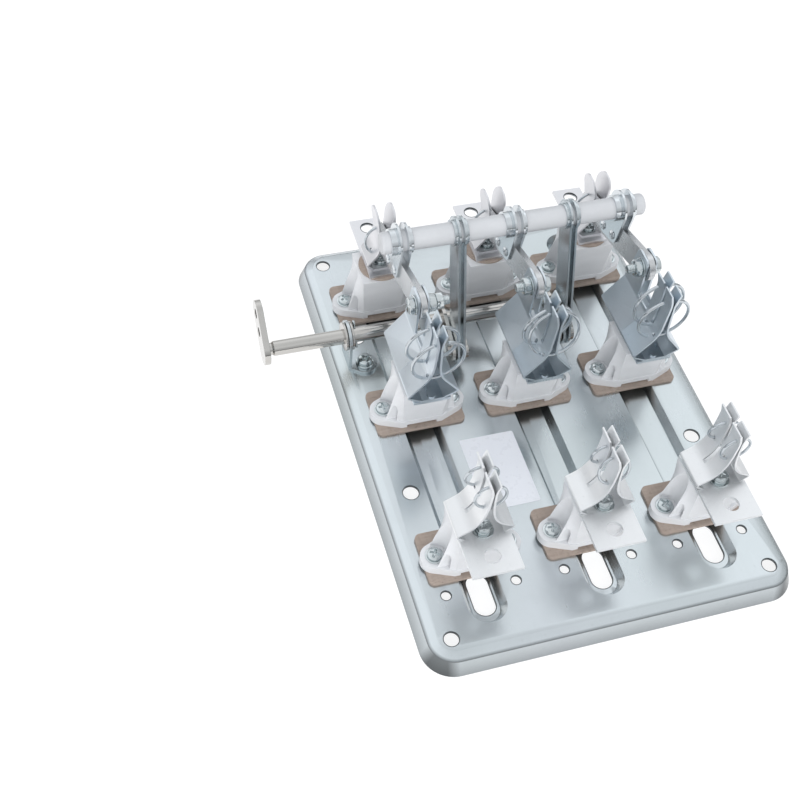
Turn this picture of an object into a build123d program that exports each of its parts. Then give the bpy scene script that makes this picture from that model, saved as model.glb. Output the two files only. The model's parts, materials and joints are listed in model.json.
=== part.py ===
"""Three-pole fuse disconnector on a pressed steel tray.

X runs across the poles, Y from the fuse outlet row to the supply row, Z up.
The origin lies in the tray's resting plane, in the middle of its four corner holes.
Each pole has three insulators: fuse outlet clip, fuse inlet clip with knife hinge, knife jaw.
One insulating rod joins the three knives, and two links tie it to a cranked drive shaft.
"""
from build123d import *
from math import acos, asin, atan2, cos, degrees, hypot, radians, sin, tan
import os

# Poles and rows
POLE_PITCH = 75.0
ROW_OUTLET = -99.5
ROW_INLET = 12.0
ROW_SUPPLY = 107.5

# Tray, whose outline follows the poles and rows
TRAY_SIDE = 45.0
TRAY_END = 64.0
TRAY_WIDTH = 2 * (POLE_PITCH + TRAY_SIDE)
TRAY_LENGTH = ROW_SUPPLY - ROW_OUTLET + 2 * TRAY_END
TRAY_HEIGHT = 14.0
TRAY_SHEET = 1.5
TRAY_CORNER = 20.0
SKIRT_FLARE = 4.0
SHOULDER_WIDTH = 6.0
SHOULDER_DROP = 3.0
CHANNEL_WIDTH = 24.0
CHANNEL_FLOOR = 17.0
CHANNEL_DEPTH = 6.0
CHANNEL_END = 22.0
CHANNEL_LENGTH = TRAY_LENGTH - 2 * CHANNEL_END
FLOOR_SLOT_WIDTH = 13.5
FLOOR_SLOT_LENGTH = 28.0
FLOOR_SLOT_END = 7.5

# Holes in the tray
MOUNT_INSET = 17.5
MOUNT_SPAN_X = TRAY_WIDTH - 2 * MOUNT_INSET
MOUNT_SPAN_Y = TRAY_LENGTH - 2 * MOUNT_INSET
MOUNT_HOLE = 9.0
SIDE_HOLE_INSET = 23.5
SIDE_HOLE_X = TRAY_WIDTH / 2 - SIDE_HOLE_INSET
SIDE_HOLE_LOW_Y = -48.5
SIDE_HOLE_HIGH_Y = 80.0
SIDE_HOLE = 10.0
FOOT_HOLE = 6.0
FOOT_HOLE_X = 22.0
FOOT_HOLE_AHEAD = 23.0

# Pressboard pads and insulators
PAD_DEPTH = 36.0
PAD_BACKWARD = 2.3
PAD_MARGIN = 6.5
PAD_THICKNESS = 2.0
PAD_CORNER = 4.0
LOBE_REACH = 23.0
LOBE_RADIUS = 8.5
FLANGE_HEIGHT = 6.0
BODY_FOOT_WIDTH = 26.0
BODY_FOOT_DEPTH = 25.0
BODY_TOP_WIDTH = 31.0
BODY_TOP_DEPTH = 29.0
INSULATOR_HEIGHT = 36.5
FOOT_NOTCH_WIDTH = 20.0
FOOT_NOTCH_HEIGHT = 2.5
FOOT_NOTCH_DEPTH = 3.0
SCREW_RELIEF = 7.6
POCKET_NEAR = 14.0
POCKET_FAR = 24.0
POCKET_HEIGHT = 14.0
POCKET_TOP = 17.8
POCKET_DEPTH = 2.6
POCKET_WALL = 1.8
BODY_LOBE = 7.0
RELIEF_HALF = 6.5

# Fasteners
SCREW_SHANK = 5.6
SCREW_HEAD = 10.0
SCREW_HEAD_HEIGHT = 2.4
SCREW_WASHER = 12.5
WASHER_THICKNESS = 1.0
SHANK_CLEARANCE = 0.2
NUT_ACROSS = 10.0
NUT_HEIGHT = 4.0
CENTRE_SCREW_DEPTH = 12.0
OUTLET_SCREW_AHEAD = 8.5
OUTLET_SCREW_ACROSS = 8.5
OUTLET_SCREW_HEAD = 4.0
SPRING_WASHER = 9.2
SPRING_WASHER_HEIGHT = 1.5

# Conductors
STRIP = 2.0
OUTLET_WIDTH = 31.0
OUTLET_FRONT = 37.3
OUTLET_BACK = 14.5
OUTLET_HOLE = 10.0
OUTLET_HOLE_AHEAD = 26.0
INLET_WIDTH = 24.0
SUPPLY_WIDTH = 21.0
SUPPLY_FRONT = 12.0
SUPPLY_BACK = 41.0
SUPPLY_HOLE = 9.0
SUPPLY_HOLE_BEHIND = 32.5
DISC_RADIUS = 14.5
DISC_THICKNESS = 1.5

# Fuse clips
CLIP_SHEET = 1.3
CLIP_GAP = 0.6
FINGER_SLIT = 2.8
OUTLET_CLIP_FRONT = 12.5
OUTLET_CLIP_BACK = 12.5
OUTLET_FOOT_HALF = 17.8
OUTLET_FOOT_RISE = 4.5
OUTLET_FLOOR_HALF = 12.0
OUTLET_TIP_RISE = 49.5
OUTLET_TIP_HALF = 2.7
OUTLET_SLIT_RISE = 11.5
OUTLET_CURVE = ((9.5, 9.5), (5.4, 14.5), (3.2, 19.5), (1.9, 25.5), (1.2, 34.5))
OUTLET_GRIP_RISE = 43.5
INLET_CLIP_FRONT = 23.3
INLET_CLIP_BACK = 31.0
INLET_FINGER_LENGTH = 21.0
INLET_FOOT_HALF = 16.3
INLET_FOOT_RISE = 5.0
INLET_RIDGE_RISE = 22.5
INLET_RIDGE_HALF = 2.3
INLET_LEAF_RISE = 38.5
INLET_LEAF_HALF = 1.6
INLET_SLIT_RISE = 25.0
INLET_GRIP_RISE = 50.5
INLET_TIP_RISE = 58.5
INLET_TIP_HALF = 3.1
TIP_FLARE = 2.8
CLIP_RIVET_RADIUS = 2.6
CLIP_RIVET_HEIGHT = 1.2
CLIP_RIVET_INSET = 3.2
FLOOR_HALF = 7.0
FOLD_RADIUS = 1.2

# Spring rings
INLET_RING_RADIUS = 16.3
INLET_RING_WIRE = 2.2
INLET_RING_RISE = 37.5
INLET_RING_AHEAD = 18.0
INLET_RING_PITCH = 11.5
INLET_RING_LEAN = 8.0
OUTLET_RING_WIRE = 1.8
OUTLET_RING_RADIUS = 9.5
OUTLET_RING_PLACES = (-7.0, 7.0)
OUTLET_RING_RISE = 33.5
JAW_RING_RADIUS = 11.5
JAW_RING_WIRE = 1.8
JAW_RING_RISE = 20.0
RING_CLEARANCE = 0.25

# Knives and their hinge
KNIFE_THICKNESS = 4.0
KNIFE_WIDTH = 18.0
KNIFE_REACH = 97.0
KNIFE_SLOPE = 16.4
HINGE_BEHIND = 16.3
HINGE_RISE = 45.5
HINGE_BOLT = 6.0
HINGE_CLEARANCE = 0.05
BLADE_CLEARANCE = 0.3
EAR_AHEAD = 6.0
EAR_BEHIND = 9.0
EAR_ABOVE = 9.0
EAR_CORNER = 3.5
HINGE_BOLT_OVERHANG = 4.5
HINGE_NUT_THICKNESS = 4.5
HINGE_HEAD = 3.5

# Supply jaws
JAW_FRONT = 7.0
JAW_BACK = 12.0
JAW_FOOT_HALF = 10.6
JAW_FOOT_RISE = 4.0
JAW_RIDGE_RISE = 14.0
JAW_GRIP_RISE = 24.0
JAW_TIP_RISE = 46.0
JAW_NECK = 11.0

# Insulating rod, clamps and links
ROD_DIAMETER = 14.0
ROD_LENGTH = 177.0
ROD_BEHIND_HINGE = 45.0
ROD_RISE = 9.5
CLAMP_SHEET = 1.5
CLAMP_RING_RADIUS = 11.5
CLAMP_COLLAR_LEFT = 4.5
CLAMP_COLLAR_RIGHT = 2.5
CLAMP_COLLAR_WALL = 1.5
CLAMP_RIVETS = (44.0, 58.0)
CLAMP_EAR = 5.5
RIVET_RADIUS = 2.0
RIVET_HEAD = 3.2
RIVET_HEAD_HEIGHT = 1.2
LINK_X = 37.5
LINK_SHEET = 1.6
LINK_GAP = 2.2
LINK_WIDTH = 17.0
LINK_HEAD = 10.5
LINK_LENGTH = 86.0
LINK_LEAN = 19.7
LINK_FOOT_HOLE = 6.4
LINK_COLLAR = 2.0

# Drive shaft
SHAFT_DIAMETER = 10.0
SHAFT_Y = 65.5
SHAFT_Z = 36.0
SHAFT_LEFT = -161.0
SHAFT_RIGHT = 50.0
BEARING_CLEARANCE = 0.05
CRANK_SHEET = 2.5
CRANK_HUB = 8.5
CRANK_END = 7.0
CRANK_CLEARANCE = 0.5
LEVER_THICKNESS = 4.0
LEVER_REACH = 24.0
LEVER_PITCH = 12.0
LEVER_HUB = 10.0
LEVER_TIP = 9.0
LEVER_ANGLE = 40.0
LEVER_HOLE = 6.5
BEARING_LEFT_X = -108.0
BEARING_RIGHT_X = 28.0
BEARING_SHEET = 2.0
BEARING_RING = 10.5
BEARING_WIDTH = 18.0
BEARING_AHEAD = 2.0
BEARING_FOOT_RADIUS = 8.5
BEARING_BOLT_LEFT = 10.5
BEARING_BOLT_RIGHT = 8.0
BEARING_BOLT_AHEAD = 8.6
BEARING_BOLT = 5.8
BEARING_BOLT_ACROSS = 10.0
SHAFT_WASHER = 9.5
SHAFT_WASHER_THICKNESS = 1.5

# Heights that follow from the sizes above
PANEL_TOP = TRAY_HEIGHT
FLANGE_TOP = PANEL_TOP + PAD_THICKNESS + FLANGE_HEIGHT
POST_TOP = PANEL_TOP + PAD_THICKNESS + INSULATOR_HEIGHT
STRIP_TOP = POST_TOP + STRIP
SUPPLY_STRIP_TOP = STRIP_TOP + DISC_THICKNESS
OUTLET_RING_Z = STRIP_TOP + OUTLET_RING_RISE
INLET_RING_Z = STRIP_TOP + INLET_RING_RISE
JAW_RING_Z = SUPPLY_STRIP_TOP + JAW_RING_RISE
HINGE_Y = ROW_INLET + HINGE_BEHIND
HINGE_Z = STRIP_TOP + HINGE_RISE
ROD_Y = HINGE_Y + ROD_BEHIND_HINGE
ROD_Z = HINGE_Z + ROD_RISE
POLES = (-POLE_PITCH, 0.0, POLE_PITCH)
POLE_NAMES = ("left", "middle", "right")
LINKS_X = (-LINK_X, LINK_X)
BLADE_HALF = KNIFE_THICKNESS / 2 + BLADE_CLEARANCE
FOOT_Y = ROD_Y - LINK_LENGTH * sin(radians(LINK_LEAN))
FOOT_Z = ROD_Z - LINK_LENGTH * cos(radians(LINK_LEAN))


def post_places(row):
    """The three insulator centres of one row, on the tray's panel."""
    return [(x, row) for x in POLES]


def disc(x, y, z, radius, height):
    """An upright round plate with its foot at z."""
    return Pos(x, y, z + height / 2) * Cylinder(radius, height)


def cross_rod(x, y, z, radius, length):
    """A round bar along X with its middle at x."""
    return Pos(x, y, z) * Rot(0, 90, 0) * Cylinder(radius, length)


def hexagon(x, y, z, across, height):
    """An upright hexagonal prism with its foot at z."""
    return Pos(x, y, z) * extrude(RegularPolygon(across / 2, 6, major_radius=False), height)


def cross_hexagon(x, y, z, across, length):
    """A hexagonal prism along X that starts at x."""
    face = RegularPolygon(across / 2, 6, major_radius=False)
    return Pos(x, y, z) * Rot(0, 90, 0) * extrude(face, length)


def side_plate(face, x, thickness):
    """A flat plate whose outline is drawn in Y and Z, from x towards +X."""
    return extrude(Plane(origin=(x, 0, 0), x_dir=(0, 1, 0), z_dir=(1, 0, 0)) * face, thickness)


def bar_outline(start, end, start_radius, end_radius):
    """The outline of a bar with a round end about each of two points."""
    rounds = [Pos(*start) * Circle(start_radius), Pos(*end) * Circle(end_radius)]
    return make_hull([edge for item in rounds for edge in item.edges()])


def bent_line(points, radius, tight):
    """A line through points: the first bends take a small radius, the others the widest that fits."""
    edges = []
    start = Vector(*points[0])
    for index in range(1, len(points) - 1):
        before, at, behind = [Vector(*points[index + step]) for step in (-1, 0, 1)]
        into = (at - before).normalized()
        out = (behind - at).normalized()
        turn = into.get_angle(out)
        if turn < 0.5:
            continue
        reach = 0.45 * min((at - before).length, (behind - at).length)
        if index <= tight:
            reach = min(reach, radius * tan(radians(turn) / 2))
        first = at - into * reach
        edges.append(Line(start, first))
        edges.append(TangentArc(first, at + out * reach, tangent=into))
        start = at + out * reach
    edges.append(Line(start, Vector(*points[-1])))
    return Wire(edges)


def bent_sheet(points, sheet, front, back, tight=2):
    """A strip bent along a line drawn in X and Z, carried along Y."""
    line = bent_line(points, FOLD_RADIUS, tight)
    face = make_face(offset(line, amount=sheet / 2, kind=Kind.ARC, side=Side.BOTH).edges())
    plane = Plane(origin=(0, back, 0), x_dir=(1, 0, 0), z_dir=(0, -1, 0))
    return extrude(plane * face, back - front)


def tray_shell(inset):
    """The pressed tray as a solid block, with each face moved inwards by inset."""
    rim = SHOULDER_WIDTH + SKIRT_FLARE
    outer = RectangleRounded(TRAY_WIDTH - 2 * inset, TRAY_LENGTH - 2 * inset, TRAY_CORNER - inset)
    ledge_w = TRAY_WIDTH - 2 * (SKIRT_FLARE + inset)
    ledge_l = TRAY_LENGTH - 2 * (SKIRT_FLARE + inset)
    ledge = RectangleRounded(ledge_w, ledge_l, TRAY_CORNER - SKIRT_FLARE - inset)
    panel = RectangleRounded(
        TRAY_WIDTH - 2 * (rim + inset),
        TRAY_LENGTH - 2 * (rim + inset),
        TRAY_CORNER - rim - inset,
    )
    ledge_z = TRAY_HEIGHT - SHOULDER_DROP - inset
    skirt = loft([outer, Pos(0, 0, ledge_z) * ledge])
    shoulder = loft([Pos(0, 0, ledge_z) * ledge, Pos(0, 0, TRAY_HEIGHT - inset) * panel])
    return skirt + shoulder


def channel(grow, drop):
    """The pressed channel under one pole, grown sideways and moved down."""
    mouth = SlotOverall(CHANNEL_LENGTH + 2 * grow, CHANNEL_WIDTH + 2 * grow, 90)
    shrink = CHANNEL_WIDTH - CHANNEL_FLOOR
    floor = SlotOverall(CHANNEL_LENGTH - shrink + 2 * grow, CHANNEL_FLOOR + 2 * grow, 90)
    return loft([Pos(0, 0, PANEL_TOP - CHANNEL_DEPTH - drop) * floor, Pos(0, 0, PANEL_TOP) * mouth])


def make_tray():
    """The pressed sheet tray with its channels, slots and holes."""
    tray = tray_shell(0) - tray_shell(TRAY_SHEET)
    for x in POLES:
        tray += Pos(x, 0, 0) * channel(TRAY_SHEET, TRAY_SHEET)
    for x in POLES:
        tray -= Pos(x, 0, 0) * channel(0, 0)
        slot_y = FLOOR_SLOT_END + FLOOR_SLOT_LENGTH / 2 - CHANNEL_LENGTH / 2
        slot = extrude(SlotOverall(FLOOR_SLOT_LENGTH, FLOOR_SLOT_WIDTH, 90), TRAY_HEIGHT)
        tray -= Pos(x, slot_y, 0) * slot
    holes = [(x, y, MOUNT_HOLE) for x in (-MOUNT_SPAN_X / 2, MOUNT_SPAN_X / 2)
             for y in (-MOUNT_SPAN_Y / 2, MOUNT_SPAN_Y / 2)]
    holes += [(x, y, SIDE_HOLE) for x in (-SIDE_HOLE_X, SIDE_HOLE_X)
              for y in (SIDE_HOLE_LOW_Y, SIDE_HOLE_HIGH_Y)]
    for pole in POLES:
        for side in (-1, 1):
            holes.append((pole + side * FOOT_HOLE_X, ROW_OUTLET - FOOT_HOLE_AHEAD, FOOT_HOLE))
            for row in (ROW_OUTLET, ROW_INLET, ROW_SUPPLY):
                holes.append((pole + side * LOBE_REACH, row, SCREW_SHANK + 2 * SHANK_CLEARANCE))
    for x, y in bearing_bolt_places():
        holes.append((x, y, BEARING_BOLT + 2 * SHANK_CLEARANCE))
    for x, y, size in holes:
        tray -= disc(x, y, 0, size / 2, TRAY_HEIGHT + 1)
    return tray


def make_pads(row):
    """Three pressboard pads that bridge the channels under one row."""
    width = 2 * (LOBE_REACH + PAD_MARGIN)
    radius = SCREW_SHANK / 2 + SHANK_CLEARANCE
    pads = []
    for x, y in post_places(row):
        face = RectangleRounded(width, PAD_DEPTH, PAD_CORNER)
        pad = Pos(x, y + PAD_BACKWARD, PANEL_TOP) * extrude(face, PAD_THICKNESS)
        for side in (-1, 1):
            pad -= disc(x + side * LOBE_REACH, y, PANEL_TOP - 1, radius, PAD_THICKNESS + 2)
        pads.append(pad)
    return pads


def tangent_point():
    """Where the line from the body's front corner touches the round end of the body's foot."""
    across = LOBE_REACH - BODY_FOOT_WIDTH / 2
    along = BODY_FOOT_DEPTH / 2
    angle = atan2(-along, -across) + acos(BODY_LOBE / hypot(across, along))
    return LOBE_REACH + BODY_LOBE * cos(angle), BODY_LOBE * sin(angle)


def body_outline(half_width, half_depth, end, end_x, end_y):
    """A six-cornered outline with two ends, each a line or an arc through (end, 0)."""
    edges = []
    for side in (-1, 1):
        edges.append(Line((side * half_width, -side * half_depth), (-side * half_width, -side * half_depth)))
        edges.append(Line((side * half_width, -half_depth), (side * end_x, -end_y)))
        edges.append(ThreePointArc((side * end_x, -end_y), (side * end, 0), (side * end_x, end_y)))
        edges.append(Line((side * end_x, end_y), (side * half_width, half_depth)))
    return make_face(edges)


def insulator(screw_ahead):
    """One moulded post about its own centre line, with its foot at height zero."""
    post = extrude(lobe_hull(), FLANGE_HEIGHT)
    touch_x, touch_y = tangent_point()
    foot = body_outline(BODY_FOOT_WIDTH / 2, BODY_FOOT_DEPTH / 2, LOBE_REACH + BODY_LOBE, touch_x, -touch_y)
    half = BODY_TOP_WIDTH / 2
    top = body_outline(half, BODY_TOP_DEPTH / 2, half + 0.02, half, RELIEF_HALF)
    body = loft([Pos(0, 0, FLANGE_HEIGHT) * foot, Pos(0, 0, INSULATOR_HEIGHT) * top], ruled=True)
    for side in (-1, 1):
        body -= disc(side * LOBE_REACH, 0, FLANGE_HEIGHT, SCREW_RELIEF, INSULATOR_HEIGHT)
        for front in (-1, 1):
            body -= pocket(side, front)
    post += body
    radius = SCREW_SHANK / 2 + SHANK_CLEARANCE
    for side in (-1, 1):
        post -= disc(side * LOBE_REACH, 0, -1, radius, FLANGE_HEIGHT + 2)
    front = -(BODY_FOOT_DEPTH + 1) / 2
    post -= Pos(0, front, 0) * Box(FOOT_NOTCH_WIDTH, 2 * FOOT_NOTCH_DEPTH, 2 * FOOT_NOTCH_HEIGHT)
    screw_foot = INSULATOR_HEIGHT - CENTRE_SCREW_DEPTH - 1
    post -= disc(0, -screw_ahead, screw_foot, radius, 2 * CENTRE_SCREW_DEPTH)
    return post


def pocket(side, front):
    """A three-cornered hollow cut down to the flange, between a screw and the body's face."""
    low = FLANGE_HEIGHT
    outline = Polygon(
        (side * POCKET_NEAR, low),
        (side * POCKET_FAR, low),
        (side * POCKET_FAR, low + POCKET_HEIGHT),
        (side * POCKET_TOP, low + POCKET_HEIGHT),
        align=None,
    )
    y = front * (BODY_FOOT_DEPTH / 2 - POCKET_WALL - POCKET_DEPTH / 2)
    plane = Plane(origin=(0, y, 0), x_dir=(1, 0, 0), z_dir=(0, -1, 0))
    return extrude(plane * outline, POCKET_DEPTH / 2, both=True)


def lobe_hull():
    """The plan outline of the insulator's flange."""
    rounds = [Pos(side * LOBE_REACH, 0) * Circle(LOBE_RADIUS) for side in (-1, 1)]
    rounds.append(Rectangle(BODY_FOOT_WIDTH + 1, BODY_FOOT_DEPTH + 1))
    return make_hull([edge for item in rounds for edge in item.edges()])


def make_insulators(row):
    """The three posts of one row."""
    post = insulator(OUTLET_SCREW_AHEAD if row == ROW_OUTLET else 0)
    return [Pos(x, y, PANEL_TOP + PAD_THICKNESS) * post for x, y in post_places(row)]


def make_post_screws(row):
    """Two screws with washers and nuts for each post of one row."""
    screws = []
    for x, y in post_places(row):
        for side in (-1, 1):
            px = x + side * LOBE_REACH
            head_z = FLANGE_TOP + WASHER_THICKNESS
            nut_z = PANEL_TOP - TRAY_SHEET - NUT_HEIGHT
            screw = disc(px, y, FLANGE_TOP, SCREW_WASHER / 2, WASHER_THICKNESS)
            screw += disc(px, y, head_z, SCREW_HEAD / 2, SCREW_HEAD_HEIGHT)
            screw += disc(px, y, nut_z, SCREW_SHANK / 2, FLANGE_TOP - nut_z)
            screw += hexagon(px, y, nut_z, NUT_ACROSS, NUT_HEIGHT)
            screws.append(screw)
    return screws


def centre_screw(x, y, top):
    """A screw with its washer standing on a strip at height top."""
    screw = disc(x, y, top, SCREW_WASHER / 2, WASHER_THICKNESS)
    screw += disc(x, y, top + WASHER_THICKNESS, SCREW_HEAD / 2, SCREW_HEAD_HEIGHT)
    shank_foot = POST_TOP - CENTRE_SCREW_DEPTH
    screw += disc(x, y, shank_foot, SCREW_SHANK / 2, top - shank_foot)
    return screw


def outlet_screw(x):
    """A hexagon screw with a flat and a spring washer, standing near a clip's front edge."""
    y = ROW_OUTLET - OUTLET_SCREW_AHEAD
    top = STRIP_TOP + CLIP_SHEET
    screw = disc(x, y, top, SCREW_WASHER / 2, WASHER_THICKNESS)
    screw += disc(x, y, top + WASHER_THICKNESS, SPRING_WASHER / 2, SPRING_WASHER_HEIGHT)
    head_z = top + WASHER_THICKNESS + SPRING_WASHER_HEIGHT
    screw += hexagon(x, y, head_z, OUTLET_SCREW_ACROSS, OUTLET_SCREW_HEAD)
    shank_foot = POST_TOP - CENTRE_SCREW_DEPTH
    screw += disc(x, y, shank_foot, SCREW_SHANK / 2, top - shank_foot)
    return screw


def strip(x, width, front, back, foot, screw_y, hole_y, hole_size):
    """A flat terminal strip with its clearance hole and its cable hole."""
    face = Pos(x, (front + back) / 2) * Rectangle(width, back - front)
    plate = Pos(0, 0, foot) * extrude(face, STRIP)
    plate -= disc(x, screw_y, foot - 1, SCREW_SHANK / 2 + SHANK_CLEARANCE, STRIP + 2)
    if hole_size:
        plate -= disc(x, hole_y, foot - 1, hole_size / 2, STRIP + 2)
    return plate


def make_outlet_terminals():
    """The tinned outlet strips, stepped up in front of the clip to lie level with its floor."""
    step = ROW_OUTLET - OUTLET_CLIP_FRONT
    raised = STRIP_TOP + CLIP_SHEET - STRIP
    strips = []
    for x in POLES:
        seat = strip(x, OUTLET_WIDTH, step - STRIP, ROW_OUTLET + OUTLET_BACK, POST_TOP,
                     ROW_OUTLET - OUTLET_SCREW_AHEAD, 0, 0)
        face = Pos(x, step - (OUTLET_FRONT - OUTLET_CLIP_FRONT) / 2) * Rectangle(
            OUTLET_WIDTH, OUTLET_FRONT - OUTLET_CLIP_FRONT)
        face -= Pos(x, ROW_OUTLET - OUTLET_HOLE_AHEAD) * Circle(OUTLET_HOLE / 2)
        strips.append(seat + Pos(0, 0, raised) * extrude(face, STRIP))
    return strips


def make_inlet_strips():
    """The base strips under the inlet clips and knife hinges."""
    return [
        strip(x, INLET_WIDTH, ROW_INLET - INLET_CLIP_FRONT, ROW_INLET + INLET_CLIP_BACK,
              POST_TOP, ROW_INLET, 0, 0)
        for x in POLES
    ]


def make_supply_discs():
    """Round pressboard discs between the supply posts and their strips."""
    discs = []
    for x in POLES:
        plate = disc(x, ROW_SUPPLY, POST_TOP, DISC_RADIUS, DISC_THICKNESS)
        radius = SCREW_SHANK / 2 + SHANK_CLEARANCE
        discs.append(plate - disc(x, ROW_SUPPLY, POST_TOP - 1, radius, DISC_THICKNESS + 2))
    return discs


def make_supply_terminals():
    """The supply strips with their cable holes, lying on the discs."""
    return [
        strip(x, SUPPLY_WIDTH, ROW_SUPPLY - SUPPLY_FRONT, ROW_SUPPLY + SUPPLY_BACK,
              POST_TOP + DISC_THICKNESS, ROW_SUPPLY, ROW_SUPPLY + SUPPLY_HOLE_BEHIND, SUPPLY_HOLE)
        for x in POLES
    ]


def folded_clip(front, back, base, profile, floor_half=FLOOR_HALF):
    """A clip folded from one strip: a floor and, on each side, a wing and a leaf."""
    middle = base + CLIP_SHEET / 2
    clip = Pos(0, (front + back) / 2, middle) * Box(2 * floor_half, back - front, CLIP_SHEET)
    for side in (-1, 1):
        points = [(side * floor_half * 0.5, middle), (side * floor_half, middle)]
        points += [(side * half, middle + rise) for half, rise in profile]
        clip += bent_sheet(points, CLIP_SHEET, front, back)
    return clip


def outlet_profile():
    """The bend points of an outlet clip's wing and leaf: half widths and heights."""
    points = [(OUTLET_FOOT_HALF, OUTLET_FOOT_RISE), *OUTLET_CURVE]
    points.append((CLIP_GAP / 2 + CLIP_SHEET / 2, OUTLET_GRIP_RISE))
    points.append((OUTLET_TIP_HALF, OUTLET_TIP_RISE))
    return points


def inlet_profile():
    """The bend points of an inlet clip's wing and leaf: half widths and heights."""
    return [
        (INLET_FOOT_HALF, INLET_FOOT_RISE),
        (INLET_RIDGE_HALF, INLET_RIDGE_RISE),
        (INLET_LEAF_HALF, INLET_LEAF_RISE),
        (CLIP_GAP / 2 + CLIP_SHEET / 2, INLET_GRIP_RISE),
        (INLET_TIP_HALF, INLET_TIP_RISE),
    ]


def ring_path(y, centre_z, radius, lean, opening):
    """The line of an open wire ring whose gap, at the top, is twice the opening wide."""
    start = 90 + degrees(asin(opening / radius))
    tilt = radians(lean)
    plane = Plane(origin=(0, y, centre_z), x_dir=(1, 0, 0), z_dir=(0, -cos(tilt), sin(tilt)))
    return plane * CenterArc((0, 0), radius, start, 540 - 2 * start)


def ring_tube(path, radius):
    """A round wire along a ring's path."""
    return sweep(Plane(origin=path @ 0, z_dir=path % 0) * Circle(radius), path)


def outlet_ring_paths():
    """The two spring rings of an outlet clip, one about each finger."""
    opening = CLIP_GAP / 2 + CLIP_SHEET + OUTLET_RING_WIRE / 2 + RING_CLEARANCE
    return [ring_path(y, OUTLET_RING_Z, OUTLET_RING_RADIUS, 0, opening) for y in OUTLET_RING_PLACES]


def inlet_ring_paths():
    """The two spring rings of an inlet clip, one about each finger."""
    opening = INLET_TIP_HALF + CLIP_SHEET / 2 + INLET_RING_WIRE / 2
    places = (-INLET_RING_AHEAD, INLET_RING_PITCH - INLET_RING_AHEAD)
    return [ring_path(y, INLET_RING_Z, INLET_RING_RADIUS, INLET_RING_LEAN, opening) for y in places]


def jaw_ring_paths():
    """The one spring ring of a supply jaw."""
    opening = BLADE_HALF + CLIP_SHEET + JAW_RING_WIRE / 2 + 2 * RING_CLEARANCE
    middle = (JAW_BACK - JAW_FRONT) / 2
    return [ring_path(middle, JAW_RING_Z, JAW_RING_RADIUS, 0, opening)]


def shank_hole(top, ahead=0):
    """The cutter for a centre screw's shank, through a clip's floor at height top."""
    return disc(0, -ahead, top - 1, SCREW_SHANK / 2 + SHANK_CLEARANCE, CLIP_SHEET + 2)


def make_outlet_clips():
    """The outlet fuse clips, each with two fingers a side."""
    clip = folded_clip(
        -OUTLET_CLIP_FRONT, OUTLET_CLIP_BACK, STRIP_TOP, outlet_profile(), OUTLET_FLOOR_HALF)
    middle = (OUTLET_CLIP_BACK - OUTLET_CLIP_FRONT) / 2
    height = OUTLET_TIP_RISE - OUTLET_SLIT_RISE + 2 * CLIP_SHEET
    slit_z = STRIP_TOP + OUTLET_SLIT_RISE + height / 2
    clip -= Pos(0, middle, slit_z) * Box(2 * OUTLET_FOOT_HALF, FINGER_SLIT, height)
    clip -= shank_hole(STRIP_TOP, OUTLET_SCREW_AHEAD)
    for path in outlet_ring_paths():
        clip -= ring_tube(path, OUTLET_RING_WIRE / 2 + RING_CLEARANCE)
    return [Pos(x, ROW_OUTLET, 0) * clip for x in POLES]


def make_inlet_clips():
    """The inlet fuse clips, whose wings run back to the knife hinge ears."""
    finger_end = INLET_FINGER_LENGTH - INLET_CLIP_FRONT
    clip = folded_clip(-INLET_CLIP_FRONT, finger_end, STRIP_TOP, inlet_profile())
    ear_half = BLADE_HALF + CLIP_SHEET / 2
    hood = [(INLET_FOOT_HALF, INLET_FOOT_RISE), (ear_half, INLET_RIDGE_RISE),
            (ear_half, INLET_RIDGE_RISE + 2 * CLIP_SHEET)]
    clip += folded_clip(finger_end, INLET_CLIP_BACK, STRIP_TOP, hood)
    height = INLET_TIP_RISE - INLET_SLIT_RISE + 2 * CLIP_SHEET
    middle = (finger_end - INLET_CLIP_FRONT) / 2
    slit_z = STRIP_TOP + INLET_SLIT_RISE + height / 2
    clip -= Pos(0, middle, slit_z) * Box(4 * INLET_TIP_HALF, FINGER_SLIT, height)
    clip -= shank_hole(STRIP_TOP)
    rivet_y = CLIP_RIVET_INSET - INLET_CLIP_FRONT
    clip += disc(0, rivet_y, STRIP_TOP, CLIP_RIVET_RADIUS, CLIP_SHEET + CLIP_RIVET_HEIGHT)
    for path in inlet_ring_paths():
        clip -= ring_tube(path, INLET_RING_WIRE / 2 + RING_CLEARANCE)
    clip += hinge_ears()
    return [Pos(x, ROW_INLET, 0) * clip for x in POLES]


def hinge_ears():
    """The two upright ears that carry the knife's hinge bolt."""
    low = STRIP_TOP + INLET_RIDGE_RISE
    top = HINGE_Z + EAR_ABOVE
    front = HINGE_BEHIND - EAR_AHEAD
    back = HINGE_BEHIND + EAR_BEHIND
    rounds = [
        Pos(front + EAR_CORNER, top - EAR_CORNER) * Circle(EAR_CORNER),
        Pos(back - EAR_CORNER, top - EAR_CORNER) * Circle(EAR_CORNER),
        Pos((front + INLET_CLIP_BACK) / 2, low) * Rectangle(INLET_CLIP_BACK - front, CLIP_SHEET),
    ]
    face = make_hull([edge for item in rounds for edge in item.edges()])
    face -= Pos(HINGE_BEHIND, HINGE_Z) * Circle(HINGE_BOLT / 2 + SHANK_CLEARANCE)
    ears = side_plate(face, BLADE_HALF, CLIP_SHEET)
    return ears + side_plate(face, -BLADE_HALF - CLIP_SHEET, CLIP_SHEET)


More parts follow.
